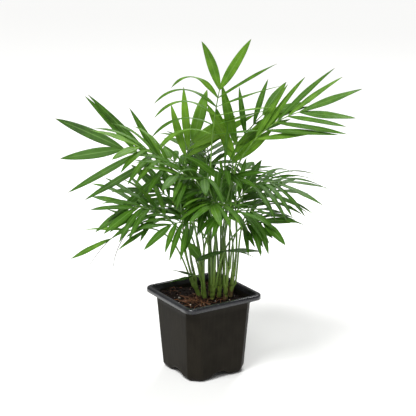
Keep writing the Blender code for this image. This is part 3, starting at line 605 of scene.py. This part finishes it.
def stem_material():
    """A stem with fine lines along it, brown round its node scars and at the soil."""
    g = Graph('living_stem')
    streak = g.noise(420.0, 3.0, (1.0, 1.0, 0.05))
    blotch = g.noise(160.0, 4.0)
    low = g.lowness(SOIL_TOP - 0.001, SOIL_TOP + 0.008)
    colour = g.blend(streak, 0.35, 0.68, (0.11, 0.21, 0.022), (0.44, 0.58, 0.095))
    colour = g.over(colour, (0.3, 0.29, 0.09), g.steps(blotch, 0.55, 0.75), 0.5)
    colour = g.over(colour, (0.17, 0.12, 0.05), g.value('tone'), 0.7)
    colour = g.over(colour, (0.2, 0.13, 0.05), low, 0.6)
    return g.finish(colour, g.plus(0.3, blotch, 0.3), g.bump(streak, 0.0004, 0.7), 0.35)


def husk_material():
    """A dead leaf sheath: thin, brown, torn fibres along it."""
    g = Graph('dry_sheath')
    fibre = g.noise(700.0, 3.0, (1.0, 1.0, 0.05))
    patch = g.noise(120.0, 4.0)
    colour = g.blend(fibre, 0.35, 0.65, (0.075, 0.042, 0.018), (0.3, 0.215, 0.09))
    colour = g.blend(patch, 0.5, 0.75, colour, (0.33, 0.33, 0.12))
    return g.finish(colour, 0.82, g.bump(fibre, 0.0005, 0.9))


def wall_material():
    """Thin moulded charcoal plastic: faint flow lines down the wall and a little dust."""
    g = Graph('moulded_wall')
    lines = g.noise(420.0, 2.0, (1.0, 1.0, 0.012))
    cloud = g.noise(45.0, 4.0)
    grain = g.noise(2600.0, 2.0)
    colour = g.blend(cloud, 0.3, 0.7, (0.0135, 0.0116, 0.0086), (0.0185, 0.016, 0.012))
    colour = g.over(colour, (0.026, 0.0225, 0.017), g.steps(lines, 0.5, 0.72), 0.3)
    dust = g.times(g.steps(grain, 0.66, 0.8), g.steps(cloud, 0.45, 0.7))
    colour = g.over(colour, (0.1, 0.085, 0.07), dust, 0.12)
    rough = g.plus(0.46, g.less(cloud, 0.5), 0.18)
    return g.finish(colour, rough, g.bump(lines, 0.0004, 0.35, g.bump(grain, 0.00005, 0.5)), 0.04)


def rim_material():
    """The rim of the pot: the same plastic, smoother, with small scuffs."""
    g = Graph('moulded_rim')
    cloud = g.noise(120.0, 4.0)
    grain = g.noise(2200.0, 2.0)
    colour = g.blend(cloud, 0.3, 0.7, (0.012, 0.0125, 0.015), (0.022, 0.023, 0.028))
    rough = g.plus(g.plus(0.16, cloud, 0.12), g.steps(grain, 0.6, 0.75), 0.15)
    return g.finish(colour, rough, g.bump(grain, 0.00006, 0.5), 0.45)


def soil_material():
    """Moist potting mix: near black with brown crumbs."""
    g = Graph('potting_mix')
    crumbs = g.noise(900.0, 5.0, rough=0.7)
    patch = g.noise(220.0, 4.0)
    colour = g.blend(crumbs, 0.4, 0.65, (0.003, 0.002, 0.0015), (0.02, 0.008, 0.005))
    colour = g.over(colour, (0.036, 0.014, 0.007), g.steps(patch, 0.55, 0.72), 0.4)
    return g.finish(colour, g.plus(0.72, crumbs, 0.25), g.bump(crumbs, 0.0012, 1.0), 0.12)


def crumb_material():
    """Crumbs of coir and bark: each its own brown, from near black to red-brown."""
    g = Graph('coir_crumbs')
    tone = g.value('tone')
    grain = g.noise(1500.0, 4.0, rough=0.7)
    colour = g.blend(tone, -1.0, 0.5, (0.004, 0.0025, 0.002), (0.024, 0.01, 0.006))
    colour = g.blend(tone, 0.6, 1.0, colour, (0.13, 0.045, 0.02))
    colour = g.over(colour, (0.01, 0.005, 0.003), grain, 0.5)
    return g.finish(colour, g.plus(0.62, grain, 0.3), g.bump(grain, 0.0006, 1.0), 0.2)


def bark_material():
    g = Graph('bark_flake')
    layer = g.noise(800.0, 4.0, (1.0, 1.0, 3.0), 0.7)
    colour = g.blend(layer, 0.35, 0.65, (0.06, 0.026, 0.014), (0.23, 0.105, 0.05))
    return g.finish(colour, g.plus(0.65, layer, 0.25), g.bump(layer, 0.0006, 1.0))


def fibre_material():
    g = Graph('coir_fibre')
    fleck = g.noise(1200.0, 2.0)
    colour = g.blend(g.value('tone'), -1.0, 1.0, (0.085, 0.032, 0.014), (0.36, 0.15, 0.062))
    colour = g.over(colour, (0.1, 0.05, 0.025), fleck, 0.4)
    return g.finish(colour, g.plus(0.5, fleck, 0.3), g.bump(fleck, 0.0001, 0.6))


def perlite_material():
    g = Graph('perlite')
    pits = g.noise(2200.0, 4.0, rough=0.7)
    colour = g.blend(pits, 0.35, 0.6, (0.36, 0.32, 0.26), (0.74, 0.71, 0.65))
    return g.finish(colour, g.plus(0.75, pits, 0.2), g.bump(pits, 0.0006, 1.0))


# ---- fronds
def blade_outline(s):
    """Half width of a blade as a share of its widest, from root to tip."""
    body = (1.0 - math.exp(-4.2 * s)) * (1.0 - s ** 2.6) ** 0.9 / 0.755
    return min(body + 0.14 * (1 - s) ** 8, 1.0)


def grow_blade(skin, row, number, pair, side, line, width, upper):
    """One leaflet as a thin folded blade: upper and under skin meeting at its edges."""
    light = row[11]
    dry = (number, pair, side) in DRY_LEAFLETS
    # the frond's painted light and shade, with a random tone added for each leaflet
    tone = FROND_PAINTED_LIGHT_AND_SHADE[number] + 0.28 * vary(number, pair, side, 11)
    phase = 6.0 * vary(pair, side, number)
    twist = math.radians(7.0) * vary(number, pair, side, 2)
    count = len(line) - 1
    rings = []
    for step, point in enumerate(line):
        s = step / count
        ahead = (line[min(step + 1, count)] - line[max(step - 1, 0)]).normalized()
        flat = light * (1.0 - ahead.z * ahead.z)
        normal = across_to(upper * (1.0 - flat) + UP * flat, ahead)
        normal = (Matrix.Rotation(twist * (s - 0.3), 3, ahead) @ normal).normalized()
        wide = normal.cross(ahead)
        half = width / 2 * (1.0 if dry else blade_outline(s))
        half = max(half * (1.0 - 0.85 * s if dry else 1.0), 0.00012)
        thick = BLADE_THICKNESS / 2 * (1.0 - 0.4 * s)
        top, low = [], []
        for a in BLADE_ACROSS:
            fold = half * BLADE_FOLD * (abs(a) - 0.45) + 0.07 * half * math.cos(3 * math.pi * a)
            wave = BLADE_WAVE * a * abs(a) * math.sin(9.0 * s + phase) * math.sin(math.pi * s)
            middle = point + wide * (a * half) + normal * (0.0 if dry else fold + wave)
            ridge = 1.0 + 1.4 * max(0.0, 1.0 - abs(a) / 0.2)
            shell = thick * (1.0 - 0.6 * abs(a))
            top.append(middle + normal * shell)
            low.append(middle - normal * shell * ridge)
        marks = [(a, s, 0.0) for a in BLADE_ACROSS]
        marks += [(a, s, 1.0) for a in BLADE_ACROSS[::-1]]
        rings.append(skin.ring(top + low[::-1], tone, marks))
    skin.tube(rings, THREAD if dry else LEAF, 1)


def grow_stalk(skin, row, petiole, rachis, face):
    """The stalk's sheath, the stalk and the midrib as one grooved tube with a knob per pair."""
    foot, way, length, radius = stem_line(row[0])
    base = petiole[0]
    height = (base - foot).dot(way)
    reach = min(SHEATH_REACH * (1.0 + 0.4 * vary(row[0], row[1] * 10)), height - 0.0015)
    ahead = (bezier(petiole, 0.02) - base).normalized()
    out = across_to(petiole[3] - base, way)
    hug = stem_radius(radius, (height - reach) / length)
    stations = []
    for share in (0.0, 0.25, 0.5, 0.75):
        axis = foot + way * (height - reach * (1.0 - share))
        centre = axis.lerp(base, share ** 2.2)
        thick = hug * 1.16 * (1.0 - share) + PETIOLE_FOOT * share * 1.5
        along = way.lerp(ahead, share * 0.5).normalized()
        stations.append((centre, along, max(thick, PETIOLE_FOOT), 0.9))
    for step in range(STALK_STEPS):
        t = step / STALK_STEPS
        way_on = (bezier(petiole, t + 0.01) - bezier(petiole, t)).normalized()
        thick = PETIOLE_FOOT * 1.12 + (PETIOLE_TOP - PETIOLE_FOOT * 1.12) * t
        stations.append((bezier(petiole, t), way_on, thick, 0.3 * (1.0 - t)))
    knobs = [leaf_station(row, rachis, pair) for pair in range(row[4])]
    steps = RIB_STEPS * row[4]
    for step in range(steps + 1):
        t = step / steps
        near = min(abs(t - k) for k in knobs) * (rachis[3] - rachis[0]).length
        thick = PETIOLE_TOP + (RACHIS_END - PETIOLE_TOP) * t
        swell = math.exp(-(near / KNOB_LENGTH) ** 2)
        way_on = rib_frame(rachis, face, t)[1]
        thick *= 1.0 + KNOB_SWELL * swell
        stations.append((bezier(rachis, t), way_on, thick, 0.6 * swell))
    upper = across_to(-out, stations[0][1])
    target = across_to(face, rib_frame(rachis, face, 0.0)[1])
    rings = []
    for k, (centre, along, thick, tone) in enumerate(stations):
        settle = min(k / 18.0, 1.0) * 0.3
        upper = across_to(across_to(upper, along).lerp(across_to(target, along), settle), along)
        ring = round_ring(centre, along, upper, thick, STALK_SIDES, STALK_GROOVE)
        rings.append(skin.ring(ring, tone))
    skin.tube(rings, STALK)


def build_frond(number, row, materials):
    node = 'frond_%02d' % (number + 1)
    tree = vertex_tree(node)
    petiole, rachis, face = settled_axis(row, tree)
    skin = Skin()
    grow_stalk(skin, row, petiole, rachis, face)
    for pair in range(row[4]):
        for side in (-1, 1):
            leaf = settled_leaf(row, number, rachis, face, pair, side, tree)
            if leaf is not None:
                grow_blade(skin, row, number, pair, side, *leaf)
    thing = skin.piece(node + '_detail', materials)
    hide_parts(node)


# ---- stems
def build_stem(index, material):
    """A straight cane: swollen foot, ring scars where old leaves fell, a narrowed and closed top.
    """
    foot, way, length, radius = stem_line(index)
    side_way = across_to(ACROSS, way)
    scars = [length * share for share in SCAR_HEIGHTS]
    skin = Skin()
    rings = []
    for k in range(STEM_RINGS + 1):
        height = -STEM_ROOT + (length + STEM_ROOT - 0.0002) * k / STEM_RINGS
        thick = stem_radius(radius, height / length) * 0.985
        near = min(abs(height - s) for s in scars)
        scar = math.exp(-(near / SCAR_LENGTH) ** 2)
        thick = thick * (1.0 + 0.05 * scar) + 0.0005 * math.exp(-max(height, 0.0) / 0.003)
        if k == STEM_RINGS:
            thick = thick * 0.6
        ring = round_ring(foot + way * height, way, side_way, thick, STEM_SIDES)
        rings.append(skin.ring(ring, scar))
    skin.tube(rings)
    thing = skin.piece('stem_%d_detail' % (index + 1), [material])
    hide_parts('stem_%d' % (index + 1))


def build_husk(index, tall, material):
    """A dead sheath round the foot of a stem: a loose tube with a torn upper edge."""
    foot, way, _, radius = stem_line(index)
    side_way = across_to(ACROSS, way)
    skin = Skin()
    walls = []
    for grow in (HUSK_THICK, 0.0):
        wall = []
        for r in range(HUSK_RINGS + 1):
            up = r / HUSK_RINGS
            ring = []
            for k in range(HUSK_SIDES):
                angle = 2 * math.pi * k / HUSK_SIDES
                tear = 0.72 + 0.28 * math.sin(angle + index) + 0.16 * vary(k // 2, index)
                height = 0.0005 + tall * tear * up
                ruffle = 1.0 + 0.06 * math.sin(5 * angle + 7.0 * up) + 0.10 * up ** 3
                reach = radius * 1.13 * ruffle + grow
                flat = side_way * math.cos(angle) + way.cross(side_way) * math.sin(angle)
                ring.append(foot + way * height + flat * reach)
            wall.append(skin.ring(ring))
        walls.append(wall)
    for wall in walls:
        for low, high in zip(wall, wall[1:]):
            skin.join(low, high)
    for end in (-1, 0):
        skin.join(walls[0][end], walls[1][end])
    thing = skin.piece('dry_sheath_%d' % (index + 1), [material])


# ---- pot
def arc_corner(half, corner):
    """Seven points inside a corner that is an arc."""
    centre = half - corner
    angles = [math.radians(90.0 * k / 8) for k in range(1, 8)]
    return [(centre + corner * math.cos(a), centre + corner * math.sin(a)) for a in angles]


def chamfer_corner(half, corner):
    """Seven points inside a corner that is a flat chamfer with rounded edges."""
    round_off = min(CHAMFER_ROUND, corner * 0.4)
    soft = round_off * math.tan(math.radians(22.5))
    near, far = half - round_off, half - corner - soft
    angles = [math.radians(a) for a in (15, 30, 45)]
    first = [(near + round_off * math.cos(a), far + round_off * math.sin(a)) for a in angles]
    return first + [(half - corner / 2, half - corner / 2)] + [(y, x) for x, y in first[::-1]]


def square_loop(half, corner, height, marks, corner_points=chamfer_corner):
    """A ring of points: each side at the given marks, then seven points for its corner."""
    reach = half - corner
    if corner_points is chamfer_corner:
        reach -= min(CHAMFER_ROUND, corner * 0.4) * math.tan(math.radians(22.5))
    ring = []
    for quarter in range(4):
        turn = Matrix.Rotation(math.radians(90 * quarter), 3, 'Z')
        for mark in marks:
            ring.append(turn @ Vector((half, mark * reach, height)))
        for x, y in corner_points(half, corner):
            ring.append(turn @ Vector((x, y, height)))
    return ring


def smooth(low, high, value):
    t = min(max((value - low) / (high - low), 0.0), 1.0)
    return t * t * (3.0 - 2.0 * t)


def arch(x, y):
    """Share of the notch's rise over a point: 1 along the raised cross, 0 on the feet."""
    return 1.0 - smooth(ARCH_FLAT, ARCH_HALF, abs(x)) * smooth(ARCH_FLAT, ARCH_HALF, abs(y))


def outer_half(height):
    low, high = BASE_SIDE / 2, BODY_SIDE / 2
    return low + (high - low) * (height - FOOT_ROUND) / (POT_HEIGHT - FOOT_ROUND)


def quarter_arc(half, height, radius, first, last, steps):
    """Rows along an arc of the pot's profile: its centre, its radius, its two angles."""
    rows = []
    for k in range(steps + 1):
        angle = math.radians(first + (last - first) * k / steps)
        rows.append((half + radius * math.cos(angle), height + radius * math.sin(angle)))
    return rows


def rim_rows(rows):
    """Rows of the rim: arcs round the corners, tighter the further in they lie."""
    return [(half, height, max(RIM_CORNER - (POT_HALF - half), 0.002), arc_corner)
            for half, height in rows]


def wall_rows(rows, wall_half, leg):
    """Rows of the wall and foot: chamfers that narrow as the foot rounds inwards."""
    made = []
    for half, height in rows:
        inset = max(wall_half - half, 0.0)
        cut = min(leg - CHAMFER_INSET * inset, half * 0.35) if inset else leg
        made.append((half, height, cut, chamfer_corner))
    return made


def pot_profile():
    """Rows down the inside from the lip to the drain, and rows up the outside."""
    top = POT_HEIGHT
    opening = POT_HALF - RIM_WIDTH
    ledge = top - SHOULDER
    inner = [(POT_HALF - 0.0002, top - LIP_HEIGHT)]
    inner += quarter_arc(POT_HALF - RIM_BEAD, top - RIM_BEAD, RIM_BEAD, 0, 90, 6)
    inner += quarter_arc(opening + MOUTH_BEAD, top - MOUTH_BEAD, MOUTH_BEAD, 90, 180, 5)
    inner = rim_rows(inner)
    heights = (ledge, 0.070, ARCH_REACH, 0.030, 0.020, 0.014)
    walls = [(outer_half(height) - WALL, height) for height in heights]
    leg = BODY_CORNER - WALL * CHAMFER_INSET
    inner += wall_rows(walls, 0.0, leg)
    foot, wall_half = FOOT_ROUND - WALL, outer_half(FOOT_ROUND) - WALL
    rounding = quarter_arc(wall_half - foot, WALL + foot, foot, 0, -90, 7)
    inner += wall_rows(rounding + [(0.020, WALL), (0.014, WALL)], wall_half, leg)
    wall_half = outer_half(FOOT_ROUND)
    rounding = quarter_arc(wall_half - FOOT_ROUND, FOOT_ROUND, FOOT_ROUND, -90, 0, 9)
    outer = wall_rows([(0.014, 0.0), (0.020, 0.0)] + rounding, wall_half, BODY_CORNER)
    heights = (0.012, 0.016, 0.020, 0.025, 0.030, 0.035, ARCH_REACH, 0.055, 0.070, 0.085)
    walls = [(outer_half(height), height) for height in heights]
    step, wide = ledge - LEDGE_DROP, outer_half(ledge) + LEDGE_STEP
    walls += [(outer_half(step), step), (wide, step + LEDGE_STEP), (wide, ledge)]
    outer += wall_rows(walls, 0.0, BODY_CORNER)
    under, soft = top - WALL, WALL * 0.6
    edge = [(opening + WALL, under - soft), (opening + WALL + soft, under)]
    edge += [(POT_HALF - RIM_BEAD, under), (POT_HALF - WALL - soft, under - soft)]
    edge += [(POT_HALF - WALL, top - RIM_BEAD), (POT_HALF - WALL, top - LIP_HEIGHT)]
    return inner, outer + rim_rows(edge)


def build_pot(materials):
    marks = [-1.0 + 2.0 * k / 16 for k in range(17)]
    inner, outer = pot_profile()
    skin = Skin()
    rings = []
    for rows, floor in ((inner, WALL), (outer, 0.0)):
        made = []
        for half, height, corner, shape in rows:
            fade = max(1.0 - (height - floor) / ARCH_REACH, 0.0) ** 2
            loop = square_loop(half, corner, height, marks, shape)
            made.append([p + UP * (ARCH_RISE * arch(p.x, p.y) * fade) for p in loop])
        rings.append(made)
    drains = [[Vector((p.x, p.y, 0.0)).normalized() * DRAIN_RADIUS + UP * height
               for p in rings[0][-1]] for height in (WALL + ARCH_RISE, ARCH_RISE)]
    order = rings[0] + drains + rings[1]
    loops = [skin.ring(ring) for ring in order]
    for low, high in zip(loops, loops[1:] + loops[:1]):
        middle = (skin.points[low[0]] + skin.points[high[0]]) / 2
        skin.join(low, high, RIM if middle.z > POT_HEIGHT - LIP_HEIGHT else BODY)
    thing = skin.piece('pot_detail', materials)
    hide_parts('pot')


# ---- soil
def soil_height(x, y):
    """The crumbly soil surface: a low mound with lumps, heaped against the wall at the clump's
    left.
    """
    edge = max(abs(x), abs(y)) / OPENING
    mound = SOIL_MOUND * (1.0 - edge * edge)
    left = -(x * ACROSS.x + y * ACROSS.y) / (outer_half(SOIL_TOP) - WALL)
    heap = SOIL_HEAP * smooth(0.2, 1.0, left)
    lump = noise.noise(Vector((x, y, 0.0)) * 160.0) * 0.0009
    grain = noise.noise(Vector((x, y, 0.3)) * 520.0) * 0.0007
    return SOIL_TOP + mound + heap + lump + grain


def build_soil(material):
    """The soil as a lumpy top on a tapered block that fills the pot."""
    skin = Skin()
    marks = [-1.0 + 2.0 * k / SOIL_MARKS for k in range(SOIL_MARKS + 1)]
    floor = WALL + ARCH_RISE + FIT_GAP
    rings = []
    for height in (floor, floor + FOOT_ROUND, 0.050, SOIL_TOP - 0.003):
        half = outer_half(height) - WALL - FIT_GAP * 1.5
        if height == floor:
            half -= FOOT_ROUND
        rings.append(square_loop(half, BODY_CORNER, height, marks))
    top_half = outer_half(SOIL_TOP) - WALL - FIT_GAP
    for k in range(SOIL_RINGS):
        share = 1.0 - k / SOIL_RINGS
        loop = square_loop(top_half * share, BODY_CORNER * share, 0.0, marks)
        rings.append([Vector((p.x, p.y, soil_height(p.x, p.y))) for p in loop])
    skin.tube([skin.ring(ring) for ring in rings])
    thing = skin.piece('soil_detail', [material])
    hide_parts('soil')


def stretched(p, size):
    return Vector((p.x * size.x, p.y * size.y, p.z * size.z))


def pebble(seed, rough, subdivisions=2):
    """Points and faces of an uneven lump about 1 across."""
    mesh = bmesh.new()
    bmesh.ops.create_icosphere(mesh, subdivisions=subdivisions, radius=0.5)
    points = []
    for vert in mesh.verts:
        shift = noise.noise(vert.co * 3.1 + Vector((seed, seed * 0.7, 0.0)))
        points.append(vert.co * (1.0 + rough * shift))
    faces = [tuple(v.index for v in face.verts) for face in mesh.faces]
    mesh.free()
    return points, faces


def scatter(count, seed, reach):
    """Spots spread over the soil: x, y and a number for each."""
    spots = []
    side = math.ceil(math.sqrt(count))
    for k in range(side * side):
        x = ((k % side) + 0.5 + 0.48 * vary(k, seed)) / side * 2.0 - 1.0
        y = ((k // side) + 0.5 + 0.48 * vary(k, seed + 1)) / side * 2.0 - 1.0
        spots.append((x * reach, y * reach, k))
    return spots


def strew(name, spots, seed, sizes, shape, rough, material):
    """Lumps lying half sunk on the soil, each turned and sized its own way."""
    skin = Skin()
    shapes = [pebble(seed + 3.7 * k, rough) for k in range(6)]
    smallest, largest = sizes
    for x, y, k in spots:
        size = smallest + (largest - smallest) * abs(vary(k, seed + 2)) ** 2.2
        spin = Matrix.Rotation(math.pi * vary(k, seed + 3), 3, 'Z')
        tilt = Matrix.Rotation(0.7 * vary(k, seed + 4), 3, 'X')
        stretch = Vector((shape[0] * (1.0 + 0.3 * vary(k, seed + 5)), shape[1], shape[2])) * size
        centre = Vector((x, y, soil_height(x, y) + size * 0.12))

        def put(p):
            return centre + spin @ (tilt @ stretched(p, stretch))

        skin.merge(shapes[k % 6], put, vary(k, seed + 6))
    thing = skin.piece(name, [material])


def build_fibres(material):
    """Coir fibres lying on the soil in loose curves, thickest in front of the stems."""
    skin = Skin()
    spread, limit = OPENING * 0.85, OPENING - 0.002
    for k in range(FIBRES):
        if k < FRONT_FIBRES:
            start = place(-10 + 13.5 * vary(k, 1), -14 + 9.0 * vary(k, 2), 0)
        else:
            start = Vector((spread * vary(k, 3), spread * vary(k, 4), 0.0))
        heading = math.pi * vary(k, 5)
        bend = 1.6 * vary(k, 6)
        length = 0.010 + 0.012 * abs(vary(k, 7))
        radius = 0.00012 + 0.00016 * abs(vary(k, 8))
        arch_up = 0.0012 + 0.0022 * abs(vary(k, 9))
        spot = start.copy()
        points = []
        for step in range(FIBRE_STEPS + 1):
            s = step / FIBRE_STEPS
            way = Vector((math.cos(heading + bend * s), math.sin(heading + bend * s), 0.0))
            spot = spot + way * (length / FIBRE_STEPS)
            spot.x = min(max(spot.x, -limit), limit)
            spot.y = min(max(spot.y, -limit), limit)
            lift = arch_up * math.sin(math.pi * s) + 0.0004
            points.append(Vector((spot.x, spot.y, soil_height(spot.x, spot.y) + lift)))
        rings = []
        for step, point in enumerate(points):
            ahead = points[min(step + 1, FIBRE_STEPS)] - points[max(step - 1, 0)]
            if ahead.length < 1e-7:
                continue
            ahead.normalize()
            ring = round_ring(point, ahead, across_to(UP, ahead), radius, 5)
            rings.append(skin.ring(ring, vary(k, 10)))
        skin.tube(rings)
    skin.piece('coir_fibres', [material])


def build_crumb(node, material, flat):
    """A named crumb of the CAD: an uneven lump, or a bark chip with a flaky top."""
    low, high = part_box(node)
    centre, size = (low + high) / 2, high - low
    seed = int(node[-1]) + (9 if flat else 0)
    skin = Skin()

    def put(p):
        q = stretched(p, size)
        if flat:
            q.z = max(min(q.z, size.z * 0.32), -size.z * 0.4)
        return centre + q

    skin.merge(pebble(seed, 0.35 if flat else 0.6, 3), put, vary(seed, 1))
    thing = skin.piece(node + '_detail', [material])
    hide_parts(node)


# ---- studio
def build_camera():
    back = facing(-90, VIEW_ELEVATION)
    data = bpy.data.cameras.new('view')
    data.lens = VIEW_LENS
    camera = put_in_scene('view', data)
    camera.location = ACROSS * VIEW_AIM_ACROSS + UP * VIEW_AIM_UP + back * VIEW_DISTANCE
    camera.rotation_euler = back.to_track_quat('Z', 'Y').to_euler()
    bpy.context.scene.camera = camera


def add_light(name, kind, heading, elevation, power, distance=0.0):
    """A light that shines on the middle of the plant from a heading in the clump."""
    way = facing(heading, elevation)
    data = bpy.data.lights.new(name, kind)
    data.energy = power
    light = put_in_scene(name, data)
    light.location = UP * VIEW_AIM_UP + way * distance
    light.rotation_euler = way.to_track_quat('Z', 'Y').to_euler()
    return data


def build_studio():
    world = bpy.data.worlds.new('studio')
    world.use_nodes = True
    sky = world.node_tree.nodes['Background']
    sky.inputs['Color'].default_value = (1.0, 1.0, 1.0, 1.0)
    sky.inputs['Strength'].default_value = 0.31
    bpy.context.scene.world = world
    bpy.context.scene.view_settings.view_transform = 'Standard'
    add_light('key', 'SUN', -124, 56, 3.1).angle = math.radians(26.0)
    add_light('fill', 'AREA', -90, 38, 4.0, distance=1.5).size = 0.30
    add_light('back', 'AREA', 75, 50, 15.0, distance=1.4).size = 0.6
    floor = bpy.data.meshes.new('floor')
    square = ((-1, -1), (1, -1), (1, 1), (-1, 1))
    corners = [(x * FLOOR_REACH, y * FLOOR_REACH, 0) for x, y in square]
    floor.from_pydata(corners, [], [(0, 1, 2, 3)])
    floor.materials.append(Graph('pale_floor').finish((0.86, 0.86, 0.85), 0.9))
    ground = put_in_scene('floor', floor)
    ground.location.z = -0.0002


# ---- assembly
build_camera()
build_studio()
frond_finishes = [leaf_material(), stalk_material(), thread_material()]
for frond_number, frond_row in enumerate(FRONDS):
    build_frond(frond_number, frond_row, frond_finishes)
stem_finish = stem_material()
husk_finish = husk_material()
for stem_index in range(len(STEMS)):
    build_stem(stem_index, stem_finish)
for husk_index, husk_height in HUSKS:
    build_husk(husk_index, husk_height, husk_finish)
build_pot([wall_material(), rim_material()])
build_soil(soil_material())
crumb_finish = crumb_material()
perlite_finish = perlite_material()
bark_finish = bark_material()
crumb_spots = scatter(620, 20, OPENING - 0.003)
strew('coir_crumbs', crumb_spots, 21, (0.0010, 0.0042), (1.0, 0.8, 0.6), 0.7,
      crumb_finish)
speck_spots = scatter(30, 40, OPENING - 0.005)
strew('perlite_specks', speck_spots, 41, (0.0007, 0.0019), (1.0, 0.9, 0.8), 0.6,
      perlite_finish)
build_fibres(fibre_material())
for crumb_number in range(1, 5):
    build_crumb('perlite_%d' % crumb_number, perlite_finish, False)
    build_crumb('bark_chip_%d' % crumb_number, bark_finish, True)
